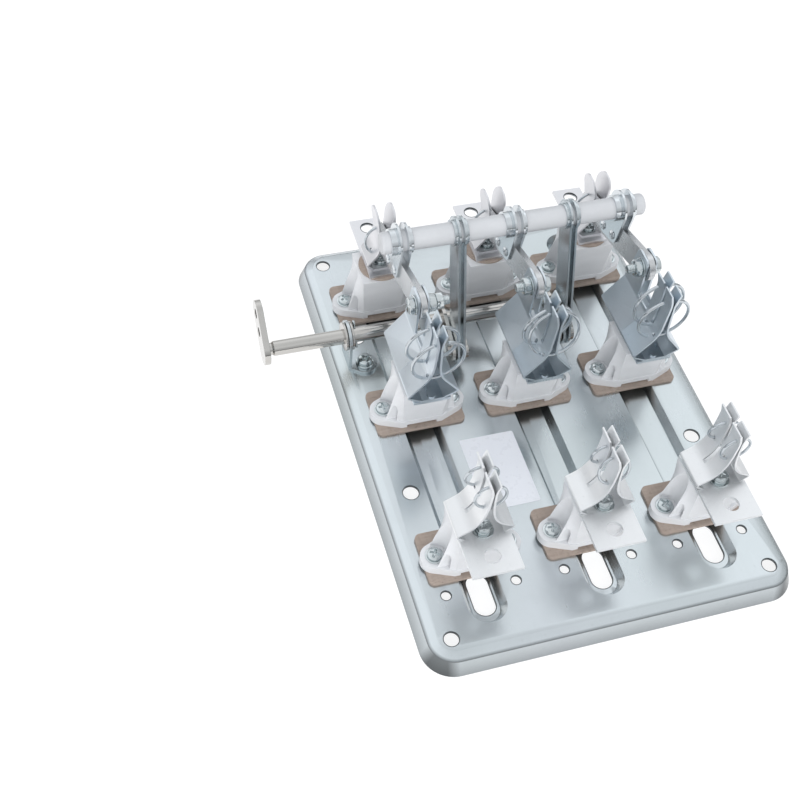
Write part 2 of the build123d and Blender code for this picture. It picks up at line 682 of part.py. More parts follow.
def make_hinge_bolts():
    """The hinge bolts, each with a head on one side and washer and nuts on the other."""
    bolts = []
    ear_out = BLADE_HALF + CLIP_SHEET
    for x in POLES:
        nut_side = 1 if x == POLES[0] else -1
        nuts = 2 if x == POLES[0] else 1
        near = ear_out + WASHER_THICKNESS
        long_end = near + nuts * HINGE_NUT_THICKNESS + HINGE_BOLT_OVERHANG
        middle = nut_side * (long_end - near) / 2
        bolt = cross_rod(x + middle, HINGE_Y, HINGE_Z, HINGE_BOLT / 2, long_end + near)
        for side in (-1, 1):
            washer_x = x + side * (ear_out + WASHER_THICKNESS / 2)
            bolt += cross_rod(washer_x, HINGE_Y, HINGE_Z, SCREW_WASHER / 2, WASHER_THICKNESS)
        for index in range(nuts):
            step = near + index * HINGE_NUT_THICKNESS
            start = x + step if nut_side > 0 else x - step - HINGE_NUT_THICKNESS
            bolt += cross_hexagon(start, HINGE_Y, HINGE_Z, NUT_ACROSS, HINGE_NUT_THICKNESS)
        start = x - near - HINGE_HEAD if nut_side > 0 else x + near
        bolt += cross_hexagon(start, HINGE_Y, HINGE_Z, NUT_ACROSS, HINGE_HEAD)
        bolts.append(bolt)
    return bolts


def make_supply_jaws():
    """The sprung jaws that take the knives."""
    grip_half = BLADE_HALF + CLIP_SHEET / 2
    profile = [
        (JAW_FOOT_HALF, JAW_FOOT_RISE),
        (grip_half, JAW_RIDGE_RISE),
        (grip_half, JAW_GRIP_RISE),
        (grip_half + TIP_FLARE, JAW_TIP_RISE),
    ]
    jaw = folded_clip(-JAW_FRONT, JAW_BACK, SUPPLY_STRIP_TOP, profile)
    middle = (JAW_BACK - JAW_FRONT) / 2
    depth = JAW_BACK + JAW_FRONT
    rounds = [
        Pos(middle, SUPPLY_STRIP_TOP + JAW_TIP_RISE + CLIP_SHEET - depth / 2) * Circle(depth / 2),
        Pos(middle, SUPPLY_STRIP_TOP + JAW_GRIP_RISE - CLIP_SHEET) * Rectangle(JAW_NECK, 2 * CLIP_SHEET),
    ]
    petal = make_hull([edge for item in rounds for edge in item.edges()])
    petal += Pos(middle, SUPPLY_STRIP_TOP + JAW_GRIP_RISE / 2 - CLIP_SHEET) * Rectangle(
        depth + CLIP_SHEET, JAW_GRIP_RISE)
    jaw = jaw & side_plate(petal, -2 * JAW_FOOT_HALF, 4 * JAW_FOOT_HALF)
    jaw -= shank_hole(SUPPLY_STRIP_TOP)
    for path in jaw_ring_paths():
        jaw -= ring_tube(path, JAW_RING_WIRE / 2 + RING_CLEARANCE)
    return [Pos(x, ROW_SUPPLY, 0) * jaw for x in POLES]


def make_rings(row, paths, wire):
    """All spring rings of one row."""
    rings = [ring_tube(path, wire / 2) for path in paths]
    return [Pos(x, row, 0) * ring for x in POLES for ring in rings]


def knife_point(reach):
    """A point on the knife's centre line, at a distance from the hinge, in Y and Z."""
    slope = radians(KNIFE_SLOPE)
    return HINGE_Y + reach * cos(slope), HINGE_Z - reach * sin(slope)


def make_knife(x):
    """One flat knife from its hinge to its round end in the jaws."""
    end = knife_point(KNIFE_REACH - KNIFE_WIDTH / 2)
    face = bar_outline((HINGE_Y, HINGE_Z), end, KNIFE_WIDTH / 2, KNIFE_WIDTH / 2)
    face -= Pos(HINGE_Y, HINGE_Z) * Circle(HINGE_BOLT / 2 + HINGE_CLEARANCE)
    for reach in CLAMP_RIVETS:
        face -= Pos(*knife_point(reach)) * Circle(RIVET_RADIUS + HINGE_CLEARANCE)
    return side_plate(face, x - KNIFE_THICKNESS / 2, KNIFE_THICKNESS)


def make_rod_clamps():
    """Two riveted sheets a knife, each with a collar round the rod."""
    clamps = []
    rounds = [Pos(ROD_Y, ROD_Z) * Circle(CLAMP_RING_RADIUS)]
    rounds += [Pos(*knife_point(reach)) * Circle(CLAMP_EAR) for reach in CLAMP_RIVETS]
    face = make_hull([edge for item in rounds for edge in item.edges()])
    bore = ROD_DIAMETER / 2 + HINGE_CLEARANCE
    face -= Pos(ROD_Y, ROD_Z) * Circle(bore)
    for reach in CLAMP_RIVETS:
        face -= Pos(*knife_point(reach)) * Circle(RIVET_RADIUS + HINGE_CLEARANCE)
    collar_face = Pos(ROD_Y, ROD_Z) * (Circle(bore + CLAMP_COLLAR_WALL) - Circle(bore))
    for x in POLES:
        for side in (-1, 1):
            near = KNIFE_THICKNESS / 2
            start = x + near if side > 0 else x - near - CLAMP_SHEET
            sheet = side_plate(face, start, CLAMP_SHEET)
            length = CLAMP_COLLAR_RIGHT if side > 0 else CLAMP_COLLAR_LEFT
            collar_x = start + CLAMP_SHEET if side > 0 else start - length
            clamps.append(sheet + side_plate(collar_face, collar_x, length))
    return clamps


def make_clamp_rivets():
    """The rivets through the clamps and the knives."""
    rivets = []
    half = KNIFE_THICKNESS / 2 + CLAMP_SHEET
    for x in POLES:
        for reach in CLAMP_RIVETS:
            y, z = knife_point(reach)
            rivet = cross_rod(x, y, z, RIVET_RADIUS, 2 * half)
            for side in (-1, 1):
                head_x = x + side * (half + RIVET_HEAD_HEIGHT / 2)
                rivet += cross_rod(head_x, y, z, RIVET_HEAD, RIVET_HEAD_HEIGHT)
            rivets.append(rivet)
    return rivets


def make_link_plates(x):
    """The pair of flat links at one side, from the rod to the crank."""
    rounds = [Pos(ROD_Y, ROD_Z) * Circle(LINK_HEAD), Pos(FOOT_Y, FOOT_Z) * Circle(LINK_WIDTH / 2)]
    face = bar_outline((ROD_Y, ROD_Z), (FOOT_Y, FOOT_Z), LINK_WIDTH / 2, LINK_WIDTH / 2) + rounds
    face -= Pos(ROD_Y, ROD_Z) * Circle(ROD_DIAMETER / 2 + HINGE_CLEARANCE)
    face -= Pos(FOOT_Y, FOOT_Z) * Circle(LINK_FOOT_HOLE / 2)
    bore = ROD_DIAMETER / 2 + HINGE_CLEARANCE
    collar = Pos(ROD_Y, ROD_Z) * (Circle(bore + CLAMP_COLLAR_WALL) - Circle(bore))
    plates = []
    for side in (-1, 1):
        near = LINK_GAP / 2
        start = x + near if side > 0 else x - near - LINK_SHEET
        plate = side_plate(face, start, LINK_SHEET)
        collar_x = start + LINK_SHEET if side > 0 else start - LINK_COLLAR
        plates.append(plate + side_plate(collar, collar_x, LINK_COLLAR))
    return plates


def make_crank(x):
    """A forked crank on the shaft: one cheek on each outer side of the links."""
    face = bar_outline((SHAFT_Y, SHAFT_Z), (FOOT_Y, FOOT_Z), CRANK_HUB, CRANK_END)
    face -= Pos(SHAFT_Y, SHAFT_Z) * Circle(SHAFT_DIAMETER / 2)
    near = LINK_GAP / 2 + LINK_SHEET + CRANK_CLEARANCE
    cheeks = []
    for side in (-1, 1):
        start = x + near if side > 0 else x - near - CRANK_SHEET
        cheek = side_plate(face, start, CRANK_SHEET)
        head_x = start + CRANK_SHEET + 0.75 if side > 0 else start - 0.75
        cheek += cross_rod(head_x, FOOT_Y, FOOT_Z, LINK_FOOT_HOLE / 2, 1.5)
        cheeks.append(cheek)
    return cheeks


def make_shaft():
    """The round drive shaft."""
    middle = (SHAFT_LEFT + SHAFT_RIGHT) / 2
    return cross_rod(middle, SHAFT_Y, SHAFT_Z, SHAFT_DIAMETER / 2, SHAFT_RIGHT - SHAFT_LEFT)


def make_lever():
    """The drilled lever on the shaft's left end."""
    angle = radians(LEVER_ANGLE)
    holes = []
    for reach in (LEVER_REACH - LEVER_PITCH, LEVER_REACH):
        holes.append((SHAFT_Y + reach * cos(angle), SHAFT_Z + reach * sin(angle)))
    face = bar_outline((SHAFT_Y, SHAFT_Z), holes[-1], LEVER_HUB, LEVER_TIP)
    for place in holes:
        face -= Pos(*place) * Circle(LEVER_HOLE / 2)
    return side_plate(face, SHAFT_LEFT - LEVER_THICKNESS, LEVER_THICKNESS)


def bearing_bolt_places():
    """Where the two bearing brackets are bolted to the tray."""
    left = BEARING_LEFT_X + BEARING_BOLT_LEFT
    right = BEARING_RIGHT_X - BEARING_BOLT_RIGHT
    return [(left, SHAFT_Y - BEARING_BOLT_AHEAD), (right, SHAFT_Y - BEARING_BOLT_AHEAD)]


def make_bearing(x, bolt):
    """A bent bracket: an upright ear round the shaft and a foot bolted to the tray."""
    rounds = [
        Pos(SHAFT_Y, SHAFT_Z) * Circle(BEARING_RING),
        Pos(SHAFT_Y - BEARING_AHEAD, PANEL_TOP + BEARING_SHEET / 2) * Rectangle(BEARING_WIDTH, BEARING_SHEET),
    ]
    face = make_hull([edge for item in rounds for edge in item.edges()])
    face -= Pos(SHAFT_Y, SHAFT_Z) * Circle(SHAFT_DIAMETER / 2 + BEARING_CLEARANCE)
    bracket = side_plate(face, x - BEARING_SHEET / 2, BEARING_SHEET)
    plan = [
        Pos(x, SHAFT_Y - BEARING_AHEAD) * Rectangle(BEARING_SHEET, BEARING_WIDTH),
        Pos(*bolt) * Circle(BEARING_FOOT_RADIUS),
    ]
    foot = make_hull([edge for item in plan for edge in item.edges()])
    foot -= Pos(*bolt) * Circle(BEARING_BOLT / 2 + SHANK_CLEARANCE)
    return bracket + Pos(0, 0, PANEL_TOP) * extrude(foot, BEARING_SHEET)


def make_bearing_bolts():
    """The hexagon bolts that hold the bearing brackets, with washers and nuts."""
    bolts = []
    foot = PANEL_TOP + BEARING_SHEET
    nut_z = PANEL_TOP - TRAY_SHEET - NUT_HEIGHT
    for x, y in bearing_bolt_places():
        bolt = disc(x, y, foot, SCREW_WASHER / 2, WASHER_THICKNESS)
        bolt += hexagon(x, y, foot + WASHER_THICKNESS, BEARING_BOLT_ACROSS, NUT_HEIGHT)
        bolt += disc(x, y, nut_z, BEARING_BOLT / 2, foot - nut_z)
        bolt += hexagon(x, y, nut_z, NUT_ACROSS, NUT_HEIGHT)
        bolts.append(bolt)
    return bolts


def make_shaft_washers():
    """Washers on the shaft, either side of the left bearing ear."""
    washers = []
    for start in (
        BEARING_LEFT_X - BEARING_SHEET / 2 - CRANK_CLEARANCE - SHAFT_WASHER_THICKNESS,
        BEARING_LEFT_X + BEARING_SHEET / 2 + CRANK_CLEARANCE,
    ):
        face = Pos(SHAFT_Y, SHAFT_Z) * (Circle(SHAFT_WASHER) - Circle(SHAFT_DIAMETER / 2))
        washers.append(side_plate(face, start, SHAFT_WASHER_THICKNESS))
    return washers


def write(name, shapes):
    """Write one sub-part, made of one or more solids, to its own file."""
    solids = []
    for shape in shapes if isinstance(shapes, list) else [shapes]:
        solids += shape.solids()
    part = solids[0] if len(solids) == 1 else Compound(children=solids)
    part.label = name
    export_step(part, f"parts/{name}.step")


def main():
    os.makedirs("parts", exist_ok=True)
    write("base_tray", make_tray())
    rows = {"outlet": ROW_OUTLET, "inlet": ROW_INLET, "supply": ROW_SUPPLY}
    for name, row in rows.items():
        write(f"{name}_pads", make_pads(row))
        write(f"{name}_insulators", make_insulators(row))
        write(f"{name}_post_screws", make_post_screws(row))
    write("outlet_terminals", make_outlet_terminals())
    write("outlet_clips", make_outlet_clips())
    write("outlet_screws", [outlet_screw(x) for x in POLES])
    rings = make_rings(ROW_OUTLET, outlet_ring_paths(), OUTLET_RING_WIRE)
    write("outlet_spring_rings", rings)
    write("inlet_strips", make_inlet_strips())
    write("inlet_clips", make_inlet_clips())
    write("inlet_screws", [centre_screw(x, ROW_INLET, STRIP_TOP + CLIP_SHEET) for x in POLES])
    write("inlet_spring_rings", make_rings(ROW_INLET, inlet_ring_paths(), INLET_RING_WIRE))
    write("hinge_bolts", make_hinge_bolts())
    write("supply_discs", make_supply_discs())
    write("supply_terminals", make_supply_terminals())
    write("supply_jaws", make_supply_jaws())
    write("supply_screws", [centre_screw(x, ROW_SUPPLY, SUPPLY_STRIP_TOP + CLIP_SHEET) for x in POLES])
    write("supply_spring_rings", make_rings(ROW_SUPPLY, jaw_ring_paths(), JAW_RING_WIRE))
    left_bolt, right_bolt = bearing_bolt_places()
    write("left_bearing", make_bearing(BEARING_LEFT_X, left_bolt))
    write("right_bearing", make_bearing(BEARING_RIGHT_X, right_bolt))
    write("bearing_bolts", make_bearing_bolts())
    for name, x in zip(POLE_NAMES, POLES):
        write(f"{name}_knife", make_knife(x))
    write("rod_clamps", make_rod_clamps())
    write("clamp_rivets", make_clamp_rivets())
    write("insulating_rod", cross_rod(0, ROD_Y, ROD_Z, ROD_DIAMETER / 2, ROD_LENGTH))
    write("left_link_plates", make_link_plates(-LINK_X))
    write("right_link_plates", make_link_plates(LINK_X))
    write("drive_shaft", make_shaft())
    write("left_crank", make_crank(-LINK_X))
    write("right_crank", make_crank(LINK_X))
    write("drive_lever", make_lever())
    write("shaft_washers", make_shaft_washers())


if __name__ == "__main__":
    main()
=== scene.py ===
"""Dresses the three-pole fuse disconnector: fasteners, springs, rounded metal, finishes and stage.

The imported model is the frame. Pieces that need more shape than its solids have are surfaces
worked out with numpy, and each one rides on the body whose solid it stands for.
"""

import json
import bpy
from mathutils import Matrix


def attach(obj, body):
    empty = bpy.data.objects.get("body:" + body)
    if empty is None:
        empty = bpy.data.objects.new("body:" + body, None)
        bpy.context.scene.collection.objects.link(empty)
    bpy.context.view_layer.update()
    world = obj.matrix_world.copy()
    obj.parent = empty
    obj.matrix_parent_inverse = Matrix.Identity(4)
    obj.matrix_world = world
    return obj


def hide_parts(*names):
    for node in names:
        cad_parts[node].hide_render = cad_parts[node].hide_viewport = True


bl_info = {
    "name": "Fuse Disconnector Dressing",
    "version": (1, 0, 0),
    "blender": (4, 5, 0),
    "location": "View3D > Sidebar > Fuse Disconnector",
    "description": "Builds the visible pieces and finishes of a three-pole fuse disconnector",
    "category": "Object",
}

from math import radians

import bmesh
import bpy
import numpy as np
from bpy.props import FloatProperty, FloatVectorProperty, IntProperty, PointerProperty
from mathutils import Vector

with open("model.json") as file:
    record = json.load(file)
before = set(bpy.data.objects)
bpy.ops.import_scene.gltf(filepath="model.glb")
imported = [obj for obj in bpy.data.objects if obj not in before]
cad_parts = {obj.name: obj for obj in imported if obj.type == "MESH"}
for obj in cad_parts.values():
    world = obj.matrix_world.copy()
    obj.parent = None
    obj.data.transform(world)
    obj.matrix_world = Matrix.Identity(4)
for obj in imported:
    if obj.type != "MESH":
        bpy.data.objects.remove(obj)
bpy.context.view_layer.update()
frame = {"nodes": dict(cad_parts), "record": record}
NODES = frame["nodes"]
MM = 0.001

# Places, in millimetres, as the frame has them
POLES = (-75.0, 0.0, 75.0)
ROWS = {"outlet": -99.5, "inlet": 12.0, "supply": 107.5}
LOBE_REACH = 23.0
PANEL_TOP = 14.0
PANEL_UNDER = 12.5
SLOT_FLOOR = 8.0
SLOT_WIDTH = 13.5
SLOT_LENGTH = 28.0
FLOOR_SLOTS = tuple((x, -124.0) for x in POLES)
TRAY_HOLES = (
    *((x, y, 9.0) for x in (-102.5, 102.5) for y in (-150.0, 150.0)),
    *((x, y, 10.0) for x in (-96.5, 96.5) for y in (-48.5, 80.0)),
    *((x + side, -122.5, 6.0) for x in POLES for side in (-22.0, 22.0)),
)
FLANGE_TOP = 22.0
STRIP_TOP = 54.5
OUTLET_SCREW_Y = -108.0
SUPPLY_TOP = 56.0
SUPPLY_HOLE_BEHIND = 32.5
CLIP_SHEET = 1.3
HINGE = (28.3, 100.0)
EAR_OUT = 3.6
RIVETS = ((70.51, 87.58), (83.94, 83.62))
CLAMP_FACE = 3.5
SHAFT = (65.5, 36.0)
SHAFT_ENDS = (-161.0, 50.0)
ROD = (73.3, 109.5)
ROD_HALF = 88.5
ROD_RADIUS = 7.0
BEARING_BOLTS = ((-97.5, 56.9), (20.0, 56.9))
SPLIT_PIN_X = -102.8
CABLE_HOLE = 4.5
LABEL_CORNERS = ((-55.0, -72.6), (-18.6, -17.6))
LABEL_THICKNESS = 0.12

# Fastener sizes, in millimetres
NUT_ACROSS = 10.0
NUT_UNDER = 4.0
WASHER_OUT = 6.25
BORE = 3.0
SHANK = 2.8

# Angles, in degrees, above which an edge counts as sharp and is rounded
EDGE_LIMIT = 28.0
CURL_LIMIT = 52.0

# Halves of the panel inside the tray's bend, and of the part of it that holds the holes, in metres
BEND_START = (0.100, 0.1475, 0.0)
HOLED_HALF = (0.112, 0.158)

# Where the photograph was taken from, and the small bright spot of the sky
CAMERA_PLACE = (-0.27202, -0.44222, 0.6594)
CAMERA_TURN = (0.657001, -0.078633, -0.285291)
BRIGHT_SPOT = (0.557, 0.321, 0.766)


# Surfaces: each function returns points and quads as arrays

def grid_faces(rows, columns, wrap):
    """Quads between neighbouring points of a grid; with wrap, the last column meets the first."""
    row = np.arange(rows - 1)[:, None] * columns
    here = np.arange(columns if wrap else columns - 1)[None, :]
    there = (here + 1) % columns
    corners = [row + here, row + there, row + columns + there, row + columns + here]
    return np.stack(corners, axis=-1).reshape(-1, 4)


def revolve(radius, height, sides=32):
    """A profile turned about Z: x = r(s) cos t, y = r(s) sin t, z = h(s)."""
    turn = np.linspace(0.0, 2 * np.pi, sides, endpoint=False)
    radius = np.asarray(radius, float)[:, None]
    height = np.asarray(height, float)[:, None] + 0 * turn
    points = np.stack([radius * np.cos(turn), radius * np.sin(turn), height], axis=-1)
    return points.reshape(-1, 3), grid_faces(len(height), sides, True)


def washer(outer, inner, foot, thickness, sides=40):
    """A flat ring whose section is a small rounded rectangle: r = m + a cos s, z = c + b sin s."""
    turn = np.linspace(0.0, 2 * np.pi, sides, endpoint=False)
    section = np.linspace(0.0, -2 * np.pi, 16, endpoint=False) + np.pi / 16
    square = np.maximum(np.abs(np.cos(section)), np.abs(np.sin(section))) ** 0.85
    radius = (outer + inner) / 2 + (outer - inner) / 2 * np.cos(section) / square
    height = foot + thickness / 2 + thickness / 2 * np.clip(np.sin(section) / square, -1, 1)
    ring = np.append(radius, radius[0])[:, None]
    rise = np.append(height, height[0])[:, None] + 0 * turn
    points = np.stack([ring * np.cos(turn), ring * np.sin(turn), rise], axis=-1)
    faces = grid_faces(len(section) + 1, sides, True)[:, ::-1]
    return points.reshape(-1, 3), faces


def hexagon_nut(across, foot, height, chamfer=0.5, sides=48):
    """A hexagon cut by a cone at each end: r(t, z) = min(a / cos(t mod 60), cone(z))."""
    turn = np.linspace(0.0, 2 * np.pi, sides, endpoint=False)
    flat = across / 2 / np.cos((turn + np.pi / 6) % (np.pi / 3) - np.pi / 6)
    depth = np.array([0.0, 0.0, 0.5, 1.0]) * chamfer
    depth = np.concatenate([depth, depth[::-1]])
    height_rows = np.concatenate([depth[:4], height - depth[4:]])
    cone = across * 0.475 + depth * 1.73
    radius = np.minimum(flat[None, :], cone[:, None])
    radius[0] = radius[-1] = 0.0
    rise = foot + height_rows[:, None] + 0 * turn
    points = np.stack([radius * np.cos(turn), radius * np.sin(turn), rise], axis=-1)
    return points.reshape(-1, 3), grid_faces(len(depth), sides, True)


def hexagon_screw(across, foot, height):
    """A chamfered hexagon with a shallow crowned top that carries a cross recess."""
    crown = cross_head(across * 0.44, foot + height - 0.25, 0.75, arm=0.15, reach=0.66, depth=0.85)
    return join([hexagon_nut(across, foot, height, 0.6), crown])


def thread(radius, foot, length, pitch=1.0, sides=20):
    """A screw thread: r(t, z) = R - d |saw(z / pitch - t / 360)|, tapered to a chamfer at both ends."""
    turn = np.linspace(0.0, 2 * np.pi, sides, endpoint=False)
    step = np.linspace(0.0, length, max(4, int(length / pitch * 5)))[:, None]
    saw = np.abs(((step / pitch - turn[None, :] / (2 * np.pi)) % 1.0) * 2 - 1)
    ends = np.minimum(1.0, np.minimum(step, length - step) / (0.6 * pitch) * 0.3 + 0.82)
    body = (radius - 0.55 * pitch * saw * 0.6) * ends
    cap = np.zeros((1, sides))
    radius_rows = np.concatenate([cap, body, cap])
    rise = foot + np.concatenate([step[:1], step, step[-1:]]) + 0 * turn
    points = np.stack([radius_rows * np.cos(turn), radius_rows * np.sin(turn), rise], axis=-1)
    return points.reshape(-1, 3), grid_faces(len(radius_rows), sides, True)


def cross_head(radius, foot, height, arm=0.13, reach=0.56, depth=0.75):
    """A crowned head on a square grid pressed to a disc, x = u sqrt(1 - v v / 2) and the like.

    Points within the arms of the cross sink into a valley, shallower towards the arms' ends.
    """
    half = np.array([0.0, arm * 0.6, arm, arm + 0.035, 0.3, 0.42,
                     reach - 0.05, reach, reach + 0.05, 0.76, 0.88, 1.0])
    line = np.concatenate([-half[:0:-1], half])
    u, v = np.meshgrid(line, line, indexing="ij")
    x = u * np.sqrt(1 - v * v / 2)
    y = v * np.sqrt(1 - u * u / 2)
    rho = np.sqrt(x * x + y * y)
    crown = height * (1 - 0.22 * rho ** 2 - 0.23 * rho ** 8)
    tiny = 1e-6
    near_u = (np.abs(u) <= arm + tiny) & (np.abs(v) <= reach + tiny)
    near_v = (np.abs(v) <= arm + tiny) & (np.abs(u) <= reach + tiny)
    far = np.maximum(np.abs(u), np.abs(v)) / reach
    aside = np.minimum(np.abs(u), np.abs(v)) / arm
    valley = depth * height * (1 - 0.45 * far) * (1 - 0.7 * np.minimum(aside, 1))
    sink = np.where(near_u | near_v, valley, 0.0)
    top = np.stack([radius * x, radius * y, foot + crown - sink], axis=-1)
    size = len(line)
    index = np.arange(size * size).reshape(size, size)
    rim = np.concatenate([index[0, :-1], index[:-1, -1], index[-1, :0:-1], index[:0:-1, 0]])[::-1]
    edge = top.reshape(-1, 3)[rim]
    low = edge * [1.02, 1.02, 0] + [0, 0, foot + 0.25 * height]
    base = edge * [1.0, 1.0, 0] + [0, 0, foot]
    centre = edge * 0 + [0, 0, foot]
    wall = np.stack([centre, base, low, edge]).reshape(-1, 3)
    cap = grid_faces(size, size, False)
    return join([(top.reshape(-1, 3), cap), (wall, grid_faces(4, len(rim), True))])


def tube(path, across, radius, sides=12):
    """A round wire along a path in one plane: p(s) + r (n cos a + b sin a), closed by domed ends."""
    along = np.gradient(path, axis=0)
    along /= np.linalg.norm(along, axis=1)[:, None]
    turn = np.linspace(0.0, np.pi / 2, 6)[:-1]
    start = path[0] - along[0] * radius * np.cos(turn)[:, None]
    end = path[-1] + along[-1] * radius * np.cos(turn)[::-1, None]
    size = np.concatenate([np.sin(turn), np.ones(len(path)), np.sin(turn)[::-1]]) * radius
    spine = np.concatenate([start, path, end])
    ends = len(turn)
    tangent = np.concatenate([np.repeat(along[:1], ends, 0), along, np.repeat(along[-1:], ends, 0)])
    across = np.asarray(across, float)
    other = np.cross(tangent, across)
    turn = np.linspace(0.0, 2 * np.pi, sides, endpoint=False)
    offset = across * np.cos(turn)[None, :, None] + other[:, None, :] * np.sin(turn)[None, :, None]
    points = spine[:, None, :] + size[:, None, None] * offset
    return points.reshape(-1, 3), grid_faces(len(spine), sides, True)


def ring_path(radius, opening, lean=0.0, steps=72):
    """A circle open at its top, in X and Z, leaning back by an angle: the centre is the origin."""
    gap = np.arcsin(opening / radius)
    turn = np.linspace(np.pi / 2 + gap, 2 * np.pi + np.pi / 2 - gap, steps)
    up = radius * np.sin(turn)
    tilt = radians(lean)
    return np.stack([radius * np.cos(turn), up * np.sin(tilt), up * np.cos(tilt)], axis=-1)


def join(surfaces):
    """Several surfaces as one: points stacked, quads moved on by the points before them."""
    counts = np.cumsum([0] + [len(points) for points, faces in surfaces[:-1]])
    points = np.concatenate([points for points, faces in surfaces])
    faces = np.concatenate([faces + start for (own, faces), start in zip(surfaces, counts)])
    return points, faces


def moved(surface, place, axis="Z"):
    """The surface with its own Z laid along an axis and its origin at a place."""
    points, faces = surface
    turns = {
        "Z": [[1, 0, 0], [0, 1, 0], [0, 0, 1]],
        "-Z": [[1, 0, 0], [0, -1, 0], [0, 0, -1]],
        "X": [[0, 1, 0], [0, 0, 1], [1, 0, 0]],
        "-X": [[0, 1, 0], [0, 0, -1], [-1, 0, 0]],
    }
    return points @ np.array(turns[axis], float) + np.asarray(place, float), faces


def spun(surface, degrees):
    """The surface turned about its own Z."""
    points, faces = surface
    angle = radians(degrees)
    turn = np.array([[np.cos(angle), np.sin(angle), 0], [-np.sin(angle), np.cos(angle), 0], [0, 0, 1]])
    return points @ turn, faces


def add_piece(name, surfaces, material, body, nodes=(), smooth=35.0):
    """Makes one object of surfaces in millimetres, in the row frame, riding on a body."""
    points, faces = join(surfaces)
    mesh = bpy.data.meshes.new(name)
    mesh.from_pydata((points * MM).tolist(), [], faces.tolist())
    tidy_mesh(mesh)
    piece = bpy.data.objects.new(name, mesh)
    return show_piece(piece, material, body, nodes, smooth)


def tidy_mesh(mesh):
    """Closes seams and poles: points that share a place become one."""
    shape = bmesh.new()
    shape.from_mesh(mesh)
    bmesh.ops.remove_doubles(shape, verts=shape.verts, dist=2e-6)
    bmesh.ops.dissolve_degenerate(shape, edges=shape.edges, dist=1e-7)
    shape.to_mesh(mesh)
    shape.free()


def show_piece(piece, material, body, nodes=(), smooth=35.0):
    """Links a piece, gives it its finish and its body, and hides the solids that it stands for."""
    bpy.context.scene.collection.objects.link(piece)
    piece.data.materials.clear()
    piece.data.materials.append(material)
    piece.data.shade_smooth()
    piece.data.set_sharp_from_angle(angle=radians(smooth))
    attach(piece, body)
    if nodes:
        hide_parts(*nodes)
    return piece


def rounded_copy(name, node, material, body, width, segments=2, limit=EDGE_LIMIT):
    """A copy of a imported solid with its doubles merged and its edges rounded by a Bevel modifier."""
    mesh = NODES[node].data.copy()
    mesh.name = name
    shape = bmesh.new()
    shape.from_mesh(mesh)
    bmesh.ops.remove_doubles(shape, verts=shape.verts, dist=2e-6)
    bmesh.ops.dissolve_limit(shape, angle_limit=radians(0.5), verts=shape.verts, edges=shape.edges)
    shape.to_mesh(mesh)
    shape.free()
    piece = bpy.data.objects.new(name, mesh)
    bevel = piece.modifiers.new("rounded_edges", "BEVEL")
    bevel.width = width * MM
    bevel.segments = segments
    bevel.limit_method = "ANGLE"
    bevel.angle_limit = radians(limit)
    bevel.harden_normals = True
    return show_piece(piece, material, body, (node,), 32.0)


# Finishes

def base_finish(name, colour, metallic, roughness):
    """A new Principled material, its nodes, its shader and its Object coordinates."""
    material = bpy.data.materials.new(name)
    material.use_nodes = True
    nodes = material.node_tree.nodes
    shader = nodes["Principled BSDF"]
    shader.inputs["Base Color"].default_value = (*colour, 1.0)
    shader.inputs["Metallic"].default_value = metallic
    shader.inputs["Roughness"].default_value = roughness
    place = nodes.new("ShaderNodeTexCoord").outputs["Object"]
    return material, shader, place


def noise(material, place, scale, stretch=(1, 1, 1), detail=4.0, rough=0.55):
    """A noise pattern on Object coordinates; scale counts its waves in a metre."""
    nodes, links = material.node_tree.nodes, material.node_tree.links
    mapping = nodes.new("ShaderNodeMapping")
    mapping.inputs["Scale"].default_value = stretch
    links.new(place, mapping.inputs["Vector"])
    pattern = nodes.new("ShaderNodeTexNoise")
    pattern.inputs["Scale"].default_value = scale
    pattern.inputs["Detail"].default_value = detail
    pattern.inputs["Roughness"].default_value = rough
    links.new(mapping.outputs["Vector"], pattern.inputs["Vector"])
    return pattern.outputs["Fac"]


def ranged(material, value, low, high, start=0.3, end=0.7):
    """A pattern's value carried from start..end to low..high."""
    nodes, links = material.node_tree.nodes, material.node_tree.links
    node = nodes.new("ShaderNodeMapRange")
    node.inputs["From Min"].default_value = start
    node.inputs["From Max"].default_value = end
    node.inputs["To Min"].default_value = low
    node.inputs["To Max"].default_value = high
    links.new(value, node.inputs["Value"])
    return node.outputs["Result"]


def mixed(material, factor, first, second):
    """Two colours, or a colour and an earlier mix, blended by a pattern."""
    nodes, links = material.node_tree.nodes, material.node_tree.links
    node = nodes.new("ShaderNodeMix")
    node.data_type = "RGBA"
    links.new(factor, node.inputs["Factor"])
    for socket, colour in (("A", first), ("B", second)):
        place = [item for item in node.inputs if item.name == socket and item.type == "RGBA"][0]
        if isinstance(colour, tuple):
            place.default_value = (*colour, 1.0)
        else:
            links.new(colour, place)
    return [item for item in node.outputs if item.type == "RGBA"][0]


def raised(material, shader, value, strength, distance):
    """A pattern as relief on the shader's normal."""
    nodes, links = material.node_tree.nodes, material.node_tree.links
    bump = nodes.new("ShaderNodeBump")
    bump.inputs["Strength"].default_value = strength
    bump.inputs["Distance"].default_value = distance
    links.new(value, bump.inputs["Height"])
    links.new(bump.outputs["Normal"], shader.inputs["Normal"])


def combined(material, kind, operation, *values):
    """A Math or VectorMath node on links and plain numbers."""
    node = material.node_tree.nodes.new(f"ShaderNode{kind}")
    node.operation = operation
    for socket, value in zip(node.inputs, values):
        if isinstance(value, (int, float, tuple)):
            socket.default_value = value
        else:
            material.node_tree.links.new(value, socket)
    number = kind == "Math" or operation in ("LENGTH", "DOT_PRODUCT")
    return node.outputs["Value" if number else "Vector"]


def shaded(colour, share):
    """A colour made darker or lighter by a share."""
    return tuple(min(1.0, part * share) for part in colour)


